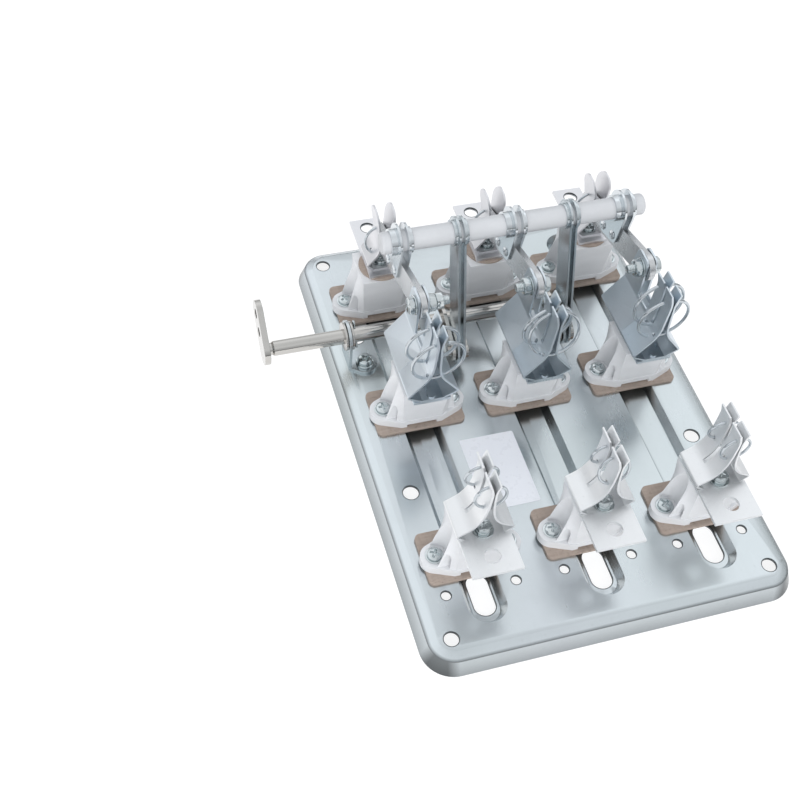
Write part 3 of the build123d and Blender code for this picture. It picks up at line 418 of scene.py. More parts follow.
def metal_finish(name, colour, roughness, streak, grain, spread, relief, tint=None):
    """Plated metal: cloudy tone, fine rolling streaks and small spots in colour and roughness."""
    material, shader, place = base_finish(name, colour, 1.0, roughness)
    links = material.node_tree.links
    cloud = noise(material, place, 28.0, detail=5.0)
    drift = noise(material, place, 9.0, detail=2.0)
    lines = noise(material, place, grain, streak, detail=3.0)
    spots = noise(material, place, 420.0, detail=2.0, rough=0.7)
    tone = mixed(material, ranged(material, cloud, 0.0, 1.0), shaded(colour, 0.93), shaded(colour, 1.05))
    tone = mixed(material, ranged(material, drift, 0.0, 0.8), tone, tint or shaded(colour, 0.94))
    tone = mixed(material, ranged(material, spots, 0.0, 0.35, 0.62, 0.75), tone, shaded(colour, 0.8))
    links.new(tone, shader.inputs["Base Color"])
    broad = ranged(material, cloud, roughness - spread, roughness + spread)
    fine = ranged(material, lines, -spread / 2, spread / 2)
    links.new(combined(material, "Math", "ADD", broad, fine), shader.inputs["Roughness"])
    raised(material, shader, lines, relief, 0.0003)
    return material


def moulded_finish(name, colour, roughness=0.42):
    """Moulded resin: faint flow clouds, tiny filler specks and a soft orange-peel relief."""
    material, shader, place = base_finish(name, colour, 0.0, roughness)
    shader.inputs["Subsurface Weight"].default_value = 0.06
    shader.inputs["Subsurface Radius"].default_value = (0.002, 0.002, 0.002)
    links = material.node_tree.links
    flow = noise(material, place, 40.0, (1, 1, 2.5), detail=4.0)
    specks = noise(material, place, 1600.0, detail=1.0)
    tone = mixed(material, ranged(material, flow, 0.0, 1.0), shaded(colour, 0.95), shaded(colour, 1.03))
    tone = mixed(material, ranged(material, specks, 0.0, 0.3, 0.66, 0.78), tone, shaded(colour, 0.72))
    links.new(tone, shader.inputs["Base Color"])
    links.new(ranged(material, flow, roughness - 0.06, roughness + 0.1), shader.inputs["Roughness"])
    peel = noise(material, place, 700.0, detail=2.0)
    raised(material, shader, peel, 0.12, 0.0003)
    return material


def pressboard_finish(name, colour):
    """Pressed paper board: matted fibres in two directions, darker flecks and a felt-like relief."""
    material, shader, place = base_finish(name, colour, 0.0, 0.86)
    links = material.node_tree.links
    long_fibres = noise(material, place, 500.0, (0.16, 1, 1), detail=5.0)
    cross_fibres = noise(material, place, 500.0, (1, 0.16, 1), detail=5.0)
    flecks = noise(material, place, 900.0, (0.5, 1, 1), detail=2.0)
    tone = mixed(material, ranged(material, long_fibres, 0.0, 1.0), shaded(colour, 0.82), shaded(colour, 1.15))
    tone = mixed(material, ranged(material, cross_fibres, 0.0, 0.6), tone, shaded(colour, 1.22))
    tone = mixed(material, ranged(material, flecks, 0.0, 0.7, 0.62, 0.72), tone, shaded(colour, 0.55))
    links.new(tone, shader.inputs["Base Color"])
    raised(material, shader, long_fibres, 0.35, 0.0003)
    return material


def tray_finish_with_painted_light(name, colour, tint):
    """Zinc-plated sheet with painted light on its rim: satin panel, a painted highlight on the shoulder, painted
    shade on the skirt that darkens towards its foot, a painted shade line at the bend and painted dark
    reflections in the corners.

    The bands follow the distance inside a rounded rectangle, length(max(|p| - q, 0)), and the height.
    """
    material = metal_finish(name, colour, 0.25, (1, 0.04, 1), 900.0, 0.025, 0.0015, tint)
    nodes, links = material.node_tree.nodes, material.node_tree.links
    shader = nodes["Principled BSDF"]
    plain = shader.inputs["Base Color"].links[0].from_socket
    place = nodes.new("ShaderNodeTexCoord").outputs["Object"]
    flat = combined(material, "VectorMath", "MULTIPLY", place, (1.0, 1.0, 0.0))
    flat = combined(material, "VectorMath", "ABSOLUTE", flat)
    beyond = combined(material, "VectorMath", "SUBTRACT", flat, BEND_START)
    beyond = combined(material, "VectorMath", "MAXIMUM", beyond, (0.0, 0.0, 0.0))
    reach = combined(material, "VectorMath", "LENGTH", beyond)
    # Painted light is laid only on the rim, from about 10.8 mm beyond the bend's start outward
    rim = ranged(material, reach, 0.0, 1.0, 0.0102, 0.0108)
    axes = nodes.new("ShaderNodeSeparateXYZ")
    links.new(beyond, axes.inputs["Vector"])
    # Painted dark reflections: the skirt's corners are darkened down to 0.35
    corner = combined(material, "Math", "MINIMUM", axes.outputs["X"], axes.outputs["Y"])
    corner = ranged(material, corner, 1.0, 0.35, 0.001, 0.008)
    height = nodes.new("ShaderNodeSeparateXYZ")
    links.new(place, height.inputs["Vector"])
    level = height.outputs["Z"]
    # Painted shade: the skirt is darkened, most towards its foot
    skirt = ranged(material, level, 0.55, 0.86, 0.0, 0.0100)
    # A painted shade line at the bend, and a painted highlight on the shoulder above it
    bend = ranged(material, level, 0.25, 1.06, 0.0108, 0.0118)
    below = ranged(material, level, 0.0, 1.0, 0.0104, 0.0108)
    tone = combined(material, "Math", "MULTIPLY", skirt, corner)
    difference = combined(material, "Math", "SUBTRACT", bend, tone)
    tone = combined(material, "Math", "MULTIPLY_ADD", difference, below, tone)
    lift = combined(material, "Math", "SUBTRACT", tone, 1.0)
    tone = combined(material, "Math", "MULTIPLY_ADD", lift, rim, 1.0)
    # The painted light and shade multiply the plated colour
    links.new(combined(material, "VectorMath", "SCALE", plain, (0.0, 0.0, 0.0), (0.0, 0.0, 0.0), tone),
              shader.inputs["Base Color"])
    return material


FINISHES = {}


def make_finishes(settings):
    """All finishes of the disconnector, by name."""
    FINISHES.update(
        galvanised=tray_finish_with_painted_light("galvanised_sheet", tuple(settings.tray_colour), (0.575, 0.63, 0.635)),
        # Cut steel darkened to near black: painted shade on the walls and burr rings of the holes
        sheared=metal_finish("sheared_edge", (0.10, 0.11, 0.115), 0.4, (1, 1, 6), 1500.0, 0.1, 0.05),
        # Painted shade: a darker copy of the zinc for the walls of the cross recesses
        recess=metal_finish("screw_recess_shade", (0.20, 0.225, 0.235), 0.3, (1, 1, 1), 1500.0, 0.1, 0.05),
        pressboard=pressboard_finish("pressboard", tuple(settings.board_colour)),
        moulded=moulded_finish("moulded_insulator", tuple(settings.insulator_colour)),
        silvered=metal_finish("silvered_clip", (0.90, 0.91, 0.92), 0.48, (0.3, 1, 1), 1100.0, 0.05, 0.03),
        tinned=metal_finish("tinned_copper", (0.80, 0.80, 0.82), 0.42, (0.2, 1, 1), 900.0, 0.06, 0.04),
        spring_clip=metal_finish("plated_spring_clip", (0.72, 0.775, 0.82), 0.36, (1, 0.15, 1), 800.0, 0.09, 0.03,
                                 tint=(0.61, 0.675, 0.725)),
        knife=metal_finish("plated_knife", (0.66, 0.67, 0.68), 0.28, (1, 0.1, 1), 900.0, 0.06, 0.02),
        clamp=metal_finish("bright_zinc_clamp", (0.70, 0.735, 0.76), 0.14, (1, 1, 1), 900.0, 0.05, 0.01),
        rod=moulded_finish("insulating_rod", (0.54, 0.55, 0.57), 0.42),
        wire=metal_finish("spring_wire", (0.58, 0.62, 0.65), 0.1, (1, 1, 1), 1400.0, 0.03, 0.01),
        bright=metal_finish("bright_steel", (0.58, 0.565, 0.54), 0.1, (0.05, 1, 1), 900.0, 0.04, 0.01),
        zinc_plate=metal_finish("zinc_plate", (0.66, 0.70, 0.72), 0.2, (1, 1, 0.08), 800.0, 0.06, 0.02,
                                tint=(0.52, 0.58, 0.61)),
        fastener=metal_finish("zinc_fasteners", (0.69, 0.725, 0.735), 0.1, (1, 1, 1), 1500.0, 0.05, 0.03,
                              tint=(0.50, 0.56, 0.57)),
    )


SLOT_FINISH = {
    "galvanised_sheet": "galvanised",
    "pressboard": "pressboard",
    "moulded_insulator": "moulded",
    "tinned_copper": "tinned",
    "plated_spring_clip": "spring_clip",
    "plated_knife": "knife",
    "insulating_rod": "rod",
    "spring_wire": "wire",
    "bright_steel": "bright",
    "zinc_plate": "zinc_plate",
    "zinc_fasteners": "fastener",
}
NODE_FINISH = {"outlet_clips": "silvered", "outlet_terminals": "silvered", "supply_jaws": "tinned",
               "rod_clamps": "clamp", "shaft_washers": "bright"}


def slot_of(node):
    """The record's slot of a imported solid."""
    return {part["node"]: part["material_slot"] for part in frame["record"]["subparts"]}[node]


def finish_of(node):
    """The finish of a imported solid: its own where one is named, otherwise its slot's."""
    return FINISHES[NODE_FINISH.get(node, SLOT_FINISH[slot_of(node)])]


# Properties

class FinishSettings(bpy.types.PropertyGroup):
    """Colours of the large surfaces."""

    tray_colour: FloatVectorProperty(
        name="Tray", description="Colour of the zinc-plated tray", subtype="COLOR",
        default=(0.63, 0.67, 0.70), min=0.0, max=1.0)
    board_colour: FloatVectorProperty(
        name="Pressboard", description="Colour of the pads under the posts", subtype="COLOR",
        default=(0.33, 0.27, 0.232), min=0.0, max=1.0)
    insulator_colour: FloatVectorProperty(
        name="Insulators", description="Colour of the moulded posts", subtype="COLOR",
        default=(0.68, 0.69, 0.71), min=0.0, max=1.0)
    label_colour: FloatVectorProperty(
        name="Label", description="Colour of the blank label", subtype="COLOR",
        default=(0.76, 0.78, 0.83), min=0.0, max=1.0)


class ShapeSettings(bpy.types.PropertyGroup):
    """Sizes of the small forms that the dressing adds."""

    sheet_rounding: FloatProperty(
        name="Sheet rounding", description="Edge rounding of the pressed sheet, in millimetres",
        default=0.3, min=0.05, max=0.7)
    edge_break: FloatProperty(
        name="Edge break", description="Edge rounding of the thin sheet pieces, in millimetres",
        default=0.28, min=0.05, max=0.5)
    mould_rounding: FloatProperty(
        name="Mould rounding", description="Edge rounding of the moulded posts, in millimetres",
        default=0.55, min=0.1, max=2.0)
    thread_pitch: FloatProperty(
        name="Thread pitch", description="Pitch of the screws and bolts, in millimetres",
        default=1.0, min=0.5, max=1.75)
    wire_sides: IntProperty(
        name="Wire sides", description="Faces round each spring wire", default=14, min=8, max=32)


class StageSettings(bpy.types.PropertyGroup):
    """Floor and light."""

    floor_colour: FloatVectorProperty(
        name="Floor", description="Colour of the studio floor", subtype="COLOR",
        default=(0.25, 0.25, 0.255), min=0.0, max=1.0)
    floor_glow: FloatProperty(
        name="Floor glow", description="Light that the floor gives off, as on a light table",
        default=0.82, min=0.0, max=2.0)
    sky_light: FloatProperty(
        name="Sky light", description="Strength of the soft light on its bright side",
        default=1.2, min=0.0, max=3.0)
    key_power: FloatProperty(
        name="Key light", description="Power of the soft light above", subtype="POWER",
        default=3.0, min=0.0)
    lens: FloatProperty(
        name="Lens", description="Focal length on a 36 mm sensor, in millimetres",
        default=56.139, min=10.0)


# Operators

class DISCONNECTOR_OT_finishes(bpy.types.Operator):
    """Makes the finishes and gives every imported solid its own"""

    bl_idname = "disconnector.finishes"
    bl_label = "Finishes"

    def execute(self, context):
        make_finishes(context.scene.disconnector_finish)
        for part in frame["record"]["subparts"]:
            solid = NODES[part["node"]]
            solid.data.materials.clear()
            solid.data.materials.append(finish_of(part["node"]))
        return {"FINISHED"}


def face_values(mesh):
    """The normals and the centres of a mesh's faces, as two arrays of rows."""
    values = []
    for name in ("normal", "center"):
        flat = np.empty(len(mesh.polygons) * 3)
        mesh.polygons.foreach_get(name, flat)
        values.append(flat.reshape(-1, 3))
    return values


def second_finish(mesh, chosen):
    """Gives the chosen faces of a mesh its second material."""
    mesh.polygons.foreach_set("material_index", chosen.astype(np.int32))


def cut_edges(mesh):
    """Gives the walls of the holes and slots the second finish: cut steel made near-black, as painted shade
    inside the holes.
    """
    normal, centre = face_values(mesh)
    inside = (np.abs(centre[:, :2]) < HOLED_HALF).all(axis=1)
    second_finish(mesh, inside & (np.abs(normal[:, 2]) < 0.3))


def burr_and_shade_ring(place, radius, stretch=0.0, sides=48):
    """The burr round a hole, a small raised ring that the callers give the near-black finish as painted shade at
    the hole's edge: e(t) + n(t) a(s), e a circle pulled apart along Y and a(s) a small hump.
    """
    x, y, z = place
    turn = np.linspace(0.0, 2 * np.pi, sides, endpoint=False) + np.pi / sides
    normal = np.stack([np.cos(turn), np.sin(turn)], axis=-1)
    edge = normal * radius + np.stack([0 * turn, np.sign(np.sin(turn)) * stretch], axis=-1) + [x, y]
    reach = np.array([0.1, -0.05, -0.05, 0.05, 0.3, 0.52, 0.52, 0.1])
    rise = np.array([-0.9, -0.9, -0.12, 0.03, 0.05, 0.0, -0.1, -0.9])
    rows = edge[None] + normal[None] * reach[:, None, None]
    level = np.broadcast_to((z + rise)[:, None, None], (*rows.shape[:2], 1))
    points = np.concatenate([rows, level], axis=-1)
    return points.reshape(-1, 3), grid_faces(len(reach), sides, True)[:, ::-1]


class DISCONNECTOR_OT_tray(bpy.types.Operator):
    """Rounds the pressed tray's edges, bends and hole rims, and paints shade into the holes with near-black walls
    and burr rings
    """

    bl_idname = "disconnector.tray"
    bl_label = "Tray"

    def execute(self, context):
        width = context.scene.disconnector_shape.sheet_rounding
        piece = rounded_copy("tray_sheet", "base_tray", FINISHES["galvanised"], "base", width)
        # The hole walls take the near-black finish as painted shade
        piece.data.materials.append(FINISHES["sheared"])
        cut_edges(piece.data)
        rims = [burr_and_shade_ring((x, y, PANEL_TOP), across / 2) for x, y, across in TRAY_HOLES]
        stretch = (SLOT_LENGTH - SLOT_WIDTH) / 2
        rims += [burr_and_shade_ring((x, y, SLOT_FLOOR), SLOT_WIDTH / 2, stretch) for x, y in FLOOR_SLOTS]
        piece = add_piece("tray_hole_rims", rims, FINISHES["sheared"], "base")
        return {"FINISHED"}


class DISCONNECTOR_OT_cable_holes(bpy.types.Operator):
    """Lays burr rings round the supply strips' cable holes, in the near-black finish that paints shade at their
    edges
    """

    bl_idname = "disconnector.cable_holes"
    bl_label = "Cable holes"

    def execute(self, context):
        rims = [burr_and_shade_ring((x, ROWS["supply"] + SUPPLY_HOLE_BEHIND, SUPPLY_TOP), CABLE_HOLE) for x in POLES]
        piece = add_piece("supply_hole_rims", rims, FINISHES["sheared"], "base")
        return {"FINISHED"}


SHEETS = {
    "base": ("outlet_terminals", "outlet_clips", "inlet_strips", "inlet_clips", "supply_terminals",
             "supply_jaws", "left_bearing", "right_bearing"),
    "knives": ("left_knife", "middle_knife", "right_knife", "rod_clamps"),
    "links": ("left_link_plates", "right_link_plates"),
    "shaft": ("left_crank", "right_crank", "drive_lever", "shaft_washers"),
}


# Small curls and collars, whose own facets stay as they are
CURLED = ("rod_clamps", "left_link_plates", "right_link_plates", "shaft_washers", "drive_lever",
          "left_bearing", "right_bearing")


class DISCONNECTOR_OT_sheets(bpy.types.Operator):
    """Breaks the sharp edges of the clips, strips, knives, links and brackets"""

    bl_idname = "disconnector.sheets"
    bl_label = "Sheet pieces"

    def execute(self, context):
        width = context.scene.disconnector_shape.edge_break
        for body, nodes in SHEETS.items():
            for node in nodes:
                limit = CURL_LIMIT if node in CURLED else EDGE_LIMIT
                piece = rounded_copy(f"{node}_dressed", node, finish_of(node), body, width, 2, limit)
        return {"FINISHED"}


class DISCONNECTOR_OT_boards(bpy.types.Operator):
    """Softens the punched edges of the pressboard pads and discs"""

    bl_idname = "disconnector.boards"
    bl_label = "Pressboard"

    def execute(self, context):
        for node in ("outlet_pads", "inlet_pads", "supply_pads", "supply_discs"):
            piece = rounded_copy(f"{node}_dressed", node, FINISHES["pressboard"], "base", 0.25)
        return {"FINISHED"}


class DISCONNECTOR_OT_insulators(bpy.types.Operator):
    """Rounds the moulded posts as a mould leaves them"""

    bl_idname = "disconnector.insulators"
    bl_label = "Insulators"

    def execute(self, context):
        width = context.scene.disconnector_shape.mould_rounding
        for row in ROWS:
            node = f"{row}_insulators"
            piece = rounded_copy(f"{row}_posts", node, FINISHES["moulded"], "base", width, 3)
        return {"FINISHED"}


def paint_recess_shade(piece, places, reach):
    """Paints shade into the cross recesses: tilted faces near a screw's own axis get the darker copy of the zinc.
    """
    mesh = piece.data
    normal, centre = face_values(mesh)
    apart = centre[:, None, :2] / MM - np.array(places)[None]
    near = np.linalg.norm(apart, axis=2).min(axis=1) < reach
    mesh.materials.append(FINISHES["recess"])
    second_finish(mesh, near & (normal[:, 2] > 0.02) & (normal[:, 2] < 0.95))


def screw_stack(place, washer_radius, turn):
    """A cross-head screw on its flat washer and split spring washer, standing at a place."""
    return [
        moved(washer(washer_radius, 3.1, 0.0, 0.9), place),
        moved(washer(4.3, 3.1, 0.9, 0.7, 28), place),
        moved(spun(cross_head(4.4, 1.5, 1.9, arm=0.18, reach=0.66, depth=1.1), turn), place),
    ]


class DISCONNECTOR_OT_post_screws(bpy.types.Operator):
    """Builds the cross-head screws that hold the posts, with their nuts under the tray"""

    bl_idname = "disconnector.post_screws"
    bl_label = "Post screws"

    def execute(self, context):
        pitch = context.scene.disconnector_shape.thread_pitch
        turns = np.random.default_rng(7).uniform(0, 90, 18)
        for row_index, (row, y) in enumerate(ROWS.items()):
            surfaces = []
            places = [(pole + side * LOBE_REACH, y) for pole in POLES for side in (-1, 1)]
            for index, (x, y) in enumerate(places):
                surfaces += screw_stack((x, y, FLANGE_TOP), 5.7, turns[row_index * 6 + index])
                foot = PANEL_UNDER - NUT_UNDER
                surfaces.append(moved(thread(SHANK, foot, FLANGE_TOP + 2 - foot, pitch), (x, y, 0)))
                nut = hexagon_nut(NUT_ACROSS, foot + 0.2, 3.8)
                surfaces.append(moved(spun(nut, turns[index]), (x, y, 0)))
            piece = add_piece(f"{row}_cross_screws", surfaces, FINISHES["fastener"], "base",
                              (f"{row}_post_screws",))
            paint_recess_shade(piece, places, 2.9)
        return {"FINISHED"}


class DISCONNECTOR_OT_centre_screws(bpy.types.Operator):
    """Builds the screws that hold the clips and jaws on their posts"""

    bl_idname = "disconnector.centre_screws"
    bl_label = "Centre screws"

    def execute(self, context):
        pitch = context.scene.disconnector_shape.thread_pitch
        turns = np.random.default_rng(11).uniform(0, 90, 9)
        tops = {"outlet": STRIP_TOP, "inlet": STRIP_TOP, "supply": SUPPLY_TOP}
        for row_index, (row, y) in enumerate(ROWS.items()):
            surfaces = []
            top = tops[row] + CLIP_SHEET
            for index, x in enumerate(POLES):
                turn = turns[row_index * 3 + index]
                if row == "outlet":
                    y = OUTLET_SCREW_Y
                    surfaces.append(moved(washer(WASHER_OUT, BORE, top, 1.0), (x, y, 0)))
                    surfaces.append(moved(washer(4.6, BORE, top + 1.0, 1.5, 28), (x, y, 0)))
                    surfaces.append(moved(spun(hexagon_screw(8.5, top + 2.5, 3.5), turn), (x, y, 0)))
                else:
                    surfaces += screw_stack((x, y, top), 6.0, turn)
                surfaces.append(moved(thread(SHANK, 41.0, top + 2 - 41.0, pitch), (x, y, 0)))
            piece = add_piece(f"{row}_centre_screws", surfaces, FINISHES["fastener"], "base",
                              (f"{row}_screws",))
            paint_recess_shade(piece, [(x, y) for x in POLES], 2.7 if row == "outlet" else 2.9)
        return {"FINISHED"}


class DISCONNECTOR_OT_hinge_bolts(bpy.types.Operator):
    """Builds the knives' hinge bolts with heads, washers, nuts and bare thread ends"""

    bl_idname = "disconnector.hinge_bolts"
    bl_label = "Hinge bolts"

    def execute(self, context):
        pitch = context.scene.disconnector_shape.thread_pitch
        y, z = HINGE
        surfaces = []
        for index, x in enumerate(POLES):
            nut_axis, head_axis = ("X", "-X") if index == 0 else ("-X", "X")
            nuts = 2 if index == 0 else 1
            near = EAR_OUT + 1.0
            end = near + nuts * 4.5 + 4.5
            surfaces.append(moved(thread(3.0, -near, end + near, pitch), (x, y, z), nut_axis))
            for axis in (nut_axis, head_axis):
                surfaces.append(moved(washer(WASHER_OUT, BORE, EAR_OUT, 1.0), (x, y, z), axis))
            for step in range(nuts):
                nut = spun(hexagon_nut(NUT_ACROSS, near + step * 4.5, 4.4), 13 + 31 * step + 20 * index)
                surfaces.append(moved(nut, (x, y, z), nut_axis))
            head = spun(hexagon_nut(NUT_ACROSS, near, 3.5), 8 * index)
            surfaces.append(moved(head, (x, y, z), head_axis))
        piece = add_piece("hinge_bolts_threaded", surfaces, FINISHES["fastener"], "base", ("hinge_bolts",))
        return {"FINISHED"}


class DISCONNECTOR_OT_clamp_rivets(bpy.types.Operator):
    """Builds the domed rivets through the clamps and the knives"""

    bl_idname = "disconnector.clamp_rivets"
    bl_label = "Clamp rivets"

    def execute(self, context):
        turn = np.linspace(0.0, np.pi / 2, 7)
        radius = np.concatenate([[0.0, 2.0, 2.0, 3.1], 3.2 * np.cos(turn) ** 0.8, [0.9, 0.5, 0.0]])
        height = np.concatenate([[0.05, 0.05, CLAMP_FACE, CLAMP_FACE],
                                 CLAMP_FACE + 0.2 + np.sin(turn) * 0.95,
                                 CLAMP_FACE + np.array([1.15, 0.8, 0.75])])
        radius[-4] = 1.2
        rivet = revolve(radius, height, 24)
        surfaces = [moved(rivet, (x, y, z), axis) for x in POLES for y, z in RIVETS for axis in ("X", "-X")]
        piece = add_piece("clamp_rivets_domed", surfaces, FINISHES["clamp"], "knives", ("clamp_rivets",))
        return {"FINISHED"}


class DISCONNECTOR_OT_bearing_bolts(bpy.types.Operator):
    """Builds the cross-head bolts of the two shaft bearings"""

    bl_idname = "disconnector.bearing_bolts"
    bl_label = "Bearing bolts"

    def execute(self, context):
        pitch = context.scene.disconnector_shape.thread_pitch
        surfaces = []
        foot = PANEL_TOP + 2.0
        under = PANEL_UNDER - NUT_UNDER
        for x, y in BEARING_BOLTS:
            surfaces.append(moved(washer(6.0, BORE, foot, 1.2), (x, y, 0)))
            surfaces.append(moved(washer(5.0, BORE, foot + 1.2, 1.2, 28), (x, y, 0)))
            head = cross_head(4.9, foot + 2.2, 2.6, arm=0.17, reach=0.64, depth=0.8)
            surfaces.append(moved(spun(head, 25), (x, y, 0)))
            surfaces.append(moved(thread(2.9, under, foot + 1 - under, pitch), (x, y, 0)))
            surfaces.append(moved(hexagon_nut(NUT_ACROSS, under + 0.2, 3.8), (x, y, 0)))
        piece = add_piece("bearing_bolts_crossed", surfaces, FINISHES["fastener"], "base", ("bearing_bolts",))
        paint_recess_shade(piece, BEARING_BOLTS, 3.2)
        return {"FINISHED"}


# For each row: wire radius, half the gap at the top, then each ring's place in the row, radius,
# lean and swing, as it hangs in its clip
RINGS = {
    "outlet": (0.9, 2.75, (
        (-74.4, -7.4, 88.6, 9.2, 4, 2), (-74.8, 7.2, 88.5, 9.5, -3, 4),
        (0.1, -6.5, 88.2, 9.5, 16, 0), (0.4, 5.8, 87.6, 9.2, -5, -1),
        (75.6, -9.0, 88.1, 9.2, 0, -2), (75.3, 5.6, 87.6, 9.2, -8, 5),
    )),
    "inlet": (1.1, 4.85, (
        (-73.0, -18.3, 86.6, 16.8, -3, -4), (-74.7, -10.0, 92.4, 16.3, -3, 0),
        (2.4, -15.3, 89.0, 16.3, 12, 1), (-0.4, -9.5, 90.8, 16.3, -2, -7),
        (75.3, -17.5, 87.6, 16.8, -2, -2), (73.9, -10.2, 93.2, 16.8, 4, -3),
    )),
    "supply": (0.9, 5.0, (
        (-74.6, 0.8, 75.3, 11.5, 8, 6), (0.0, 2.5, 76.0, 11.5, 2, -3), (75.0, 2.5, 76.0, 11.5, 4, 2),
    )),
}


class DISCONNECTOR_OT_spring_rings(bpy.types.Operator):
    """Builds the open wire rings that press the clips' fingers together"""

    bl_idname = "disconnector.spring_rings"
    bl_label = "Spring rings"

    def execute(self, context):
        sides = context.scene.disconnector_shape.wire_sides
        for row, (wire, opening, places) in RINGS.items():
            surfaces = []
            for x, y, z, radius, lean, swing in places:
                tilt = radians(lean)
                across = (0.0, np.cos(tilt), -np.sin(tilt))
                ring = tube(ring_path(radius, opening, lean), across, wire, sides)
                surfaces.append(moved(spun(ring, -swing), (x, ROWS[row] + y, z)))
            piece = add_piece(f"{row}_wire_rings", surfaces, FINISHES["wire"], "base",
                              (f"{row}_spring_rings",), 60.0)
        return {"FINISHED"}


class DISCONNECTOR_OT_rod(bpy.types.Operator):
    """Builds the insulating rod with its softly domed ends"""

    bl_idname = "disconnector.rod"
    bl_label = "Insulating rod"

    def execute(self, context):
        curve = np.linspace(0, np.pi / 2, 7)
        dome = 1.6
        flat = ROD_RADIUS - dome
        radius = np.concatenate([[0.0], flat + dome * np.sin(curve), flat + dome * np.cos(curve), [0.0]])
        height = np.concatenate([[-ROD_HALF], -ROD_HALF + dome - dome * np.cos(curve),
                                 ROD_HALF - dome + dome * np.sin(curve), [ROD_HALF]])
        rod = moved(revolve(radius, height, 56), (0, *ROD), "X")
        piece = add_piece("insulating_rod_turned", [rod], FINISHES["rod"], "knives", ("insulating_rod",), 50.0)
        return {"FINISHED"}


class DISCONNECTOR_OT_shaft(bpy.types.Operator):
    """Builds the drive shaft with chamfered ends and the split pin beside its bearing"""

    bl_idname = "disconnector.shaft"
    bl_label = "Drive shaft"

    def execute(self, context):
        start, end = SHAFT_ENDS
        radius = [0.0, 4.1, 4.1, 4.95, 5.0, 5.0, 4.4, 0.0]
        height = [start, start, start + 2.2, start + 3.4, start + 4.0, end - 0.6, end, end]
        shaft = moved(revolve(radius, height, 48), (0, *SHAFT), "X")
        piece = add_piece("drive_shaft_turned", [shaft], FINISHES["bright"], "shaft", ("drive_shaft",), 30.0)
        sweep = np.linspace(0.0, 1.0, 40)[:, None]
        leg = np.concatenate([0 * sweep, 0.6 + 0 * sweep, -8.0 + 14.0 * sweep], axis=1)
        turn = np.linspace(-0.4 * np.pi, 1.4 * np.pi, 30)[:, None]
        eye = np.concatenate([0 * turn, 1.6 * np.cos(turn), 7.4 + 1.6 * np.sin(turn)], axis=1)
        legs = [tube(leg * [1, side, 1], (1, 0, 0), 0.75, 10) for side in (-1, 1)]
        lean = radians(40)
        tilt = np.array([[1, 0, 0], [0, np.cos(lean), np.sin(lean)], [0, -np.sin(lean), np.cos(lean)]])
        pin = [(points @ tilt.T, faces) for points, faces in legs + [tube(eye, (1, 0, 0), 0.75, 10)]]
        pin = [moved(item, (SPLIT_PIN_X, *SHAFT)) for item in pin]
        piece = add_piece("shaft_split_pin", pin, FINISHES["fastener"], "shaft", (), 60.0)
        return {"FINISHED"}


class DISCONNECTOR_OT_label(bpy.types.Operator):
    """Lays the blank label on the tray's panel"""

    bl_idname = "disconnector.label"
    bl_label = "Blank label"

    def execute(self, context):
        low, high = np.array(LABEL_CORNERS)
        middle, half = (low + high) / 2, (high - low) / 2
        turn = np.linspace(0, 2 * np.pi, 64, endpoint=False)
        corner = 1.2
        square = np.sign(np.stack([np.cos(turn), np.sin(turn)], axis=-1))
        round_part = corner * np.stack([np.cos(turn), np.sin(turn)], axis=-1)
        outline = middle + square * (half - corner) + round_part
        top = PANEL_TOP + LABEL_THICKNESS
        inner = middle + 0 * outline
        rows = [(inner, PANEL_TOP), (outline, PANEL_TOP), (outline, top), (inner, top)]
        points = np.concatenate([np.column_stack([ring, np.full(len(turn), z)]) for ring, z in rows])
        colour = tuple(context.scene.disconnector_finish.label_colour)
        material, shader, place = base_finish("label_film", colour, 0.0, 0.3)
        links = material.node_tree.links
        grain = noise(material, place, 240.0, detail=3.0)
        links.new(ranged(material, grain, 0.24, 0.38), shader.inputs["Roughness"])
        raised(material, shader, grain, 0.05, 0.0003)
        add_piece("blank_label", [(points, grid_faces(4, len(turn), True))], material, "base")
        return {"FINISHED"}


SKY_BANDS = ((0.0, 0.16), (0.08, 0.2), (0.18, 0.58), (0.5, 0.75), (0.68, 0.93), (0.87, 0.9), (0.96, 0.8))


def studio_sky(world, background, strength):
    """Soft light all round: dim along the horizon, brighter at the back left, with a small bright spot."""
    nodes, links = world.node_tree.nodes, world.node_tree.links
    towards = nodes.new("ShaderNodeTexCoord").outputs["Generated"]
    split = nodes.new("ShaderNodeSeparateXYZ")
    links.new(towards, split.inputs["Vector"])
    bands = nodes.new("ShaderNodeValToRGB")
    stops = bands.color_ramp.elements
    while len(stops) < len(SKY_BANDS):
        stops.new(0.5)
    for stop, (height, level) in zip(stops, SKY_BANDS):
        stop.position = height
        stop.color = (level, level, level, 1.0)
    links.new(split.outputs["Z"], bands.inputs["Fac"])
    side = combined(world, "VectorMath", "DOT_PRODUCT", towards, (-0.6, 0.8, 0.0))
    lift = ranged(world, side, strength * 0.75, strength * 1.15, -1.0, 1.0)
    product = combined(world, "Math", "MULTIPLY", bands.outputs["Color"], lift)
    glow = combined(world, "VectorMath", "DOT_PRODUCT", towards, tuple(Vector(BRIGHT_SPOT).normalized()))
    spot = ranged(world, glow, 0.0, strength * 0.24, 0.95, 0.99)
    spot.node.interpolation_type = "SMOOTHSTEP"
    links.new(combined(world, "Math", "ADD", product, spot), background.inputs["Strength"])


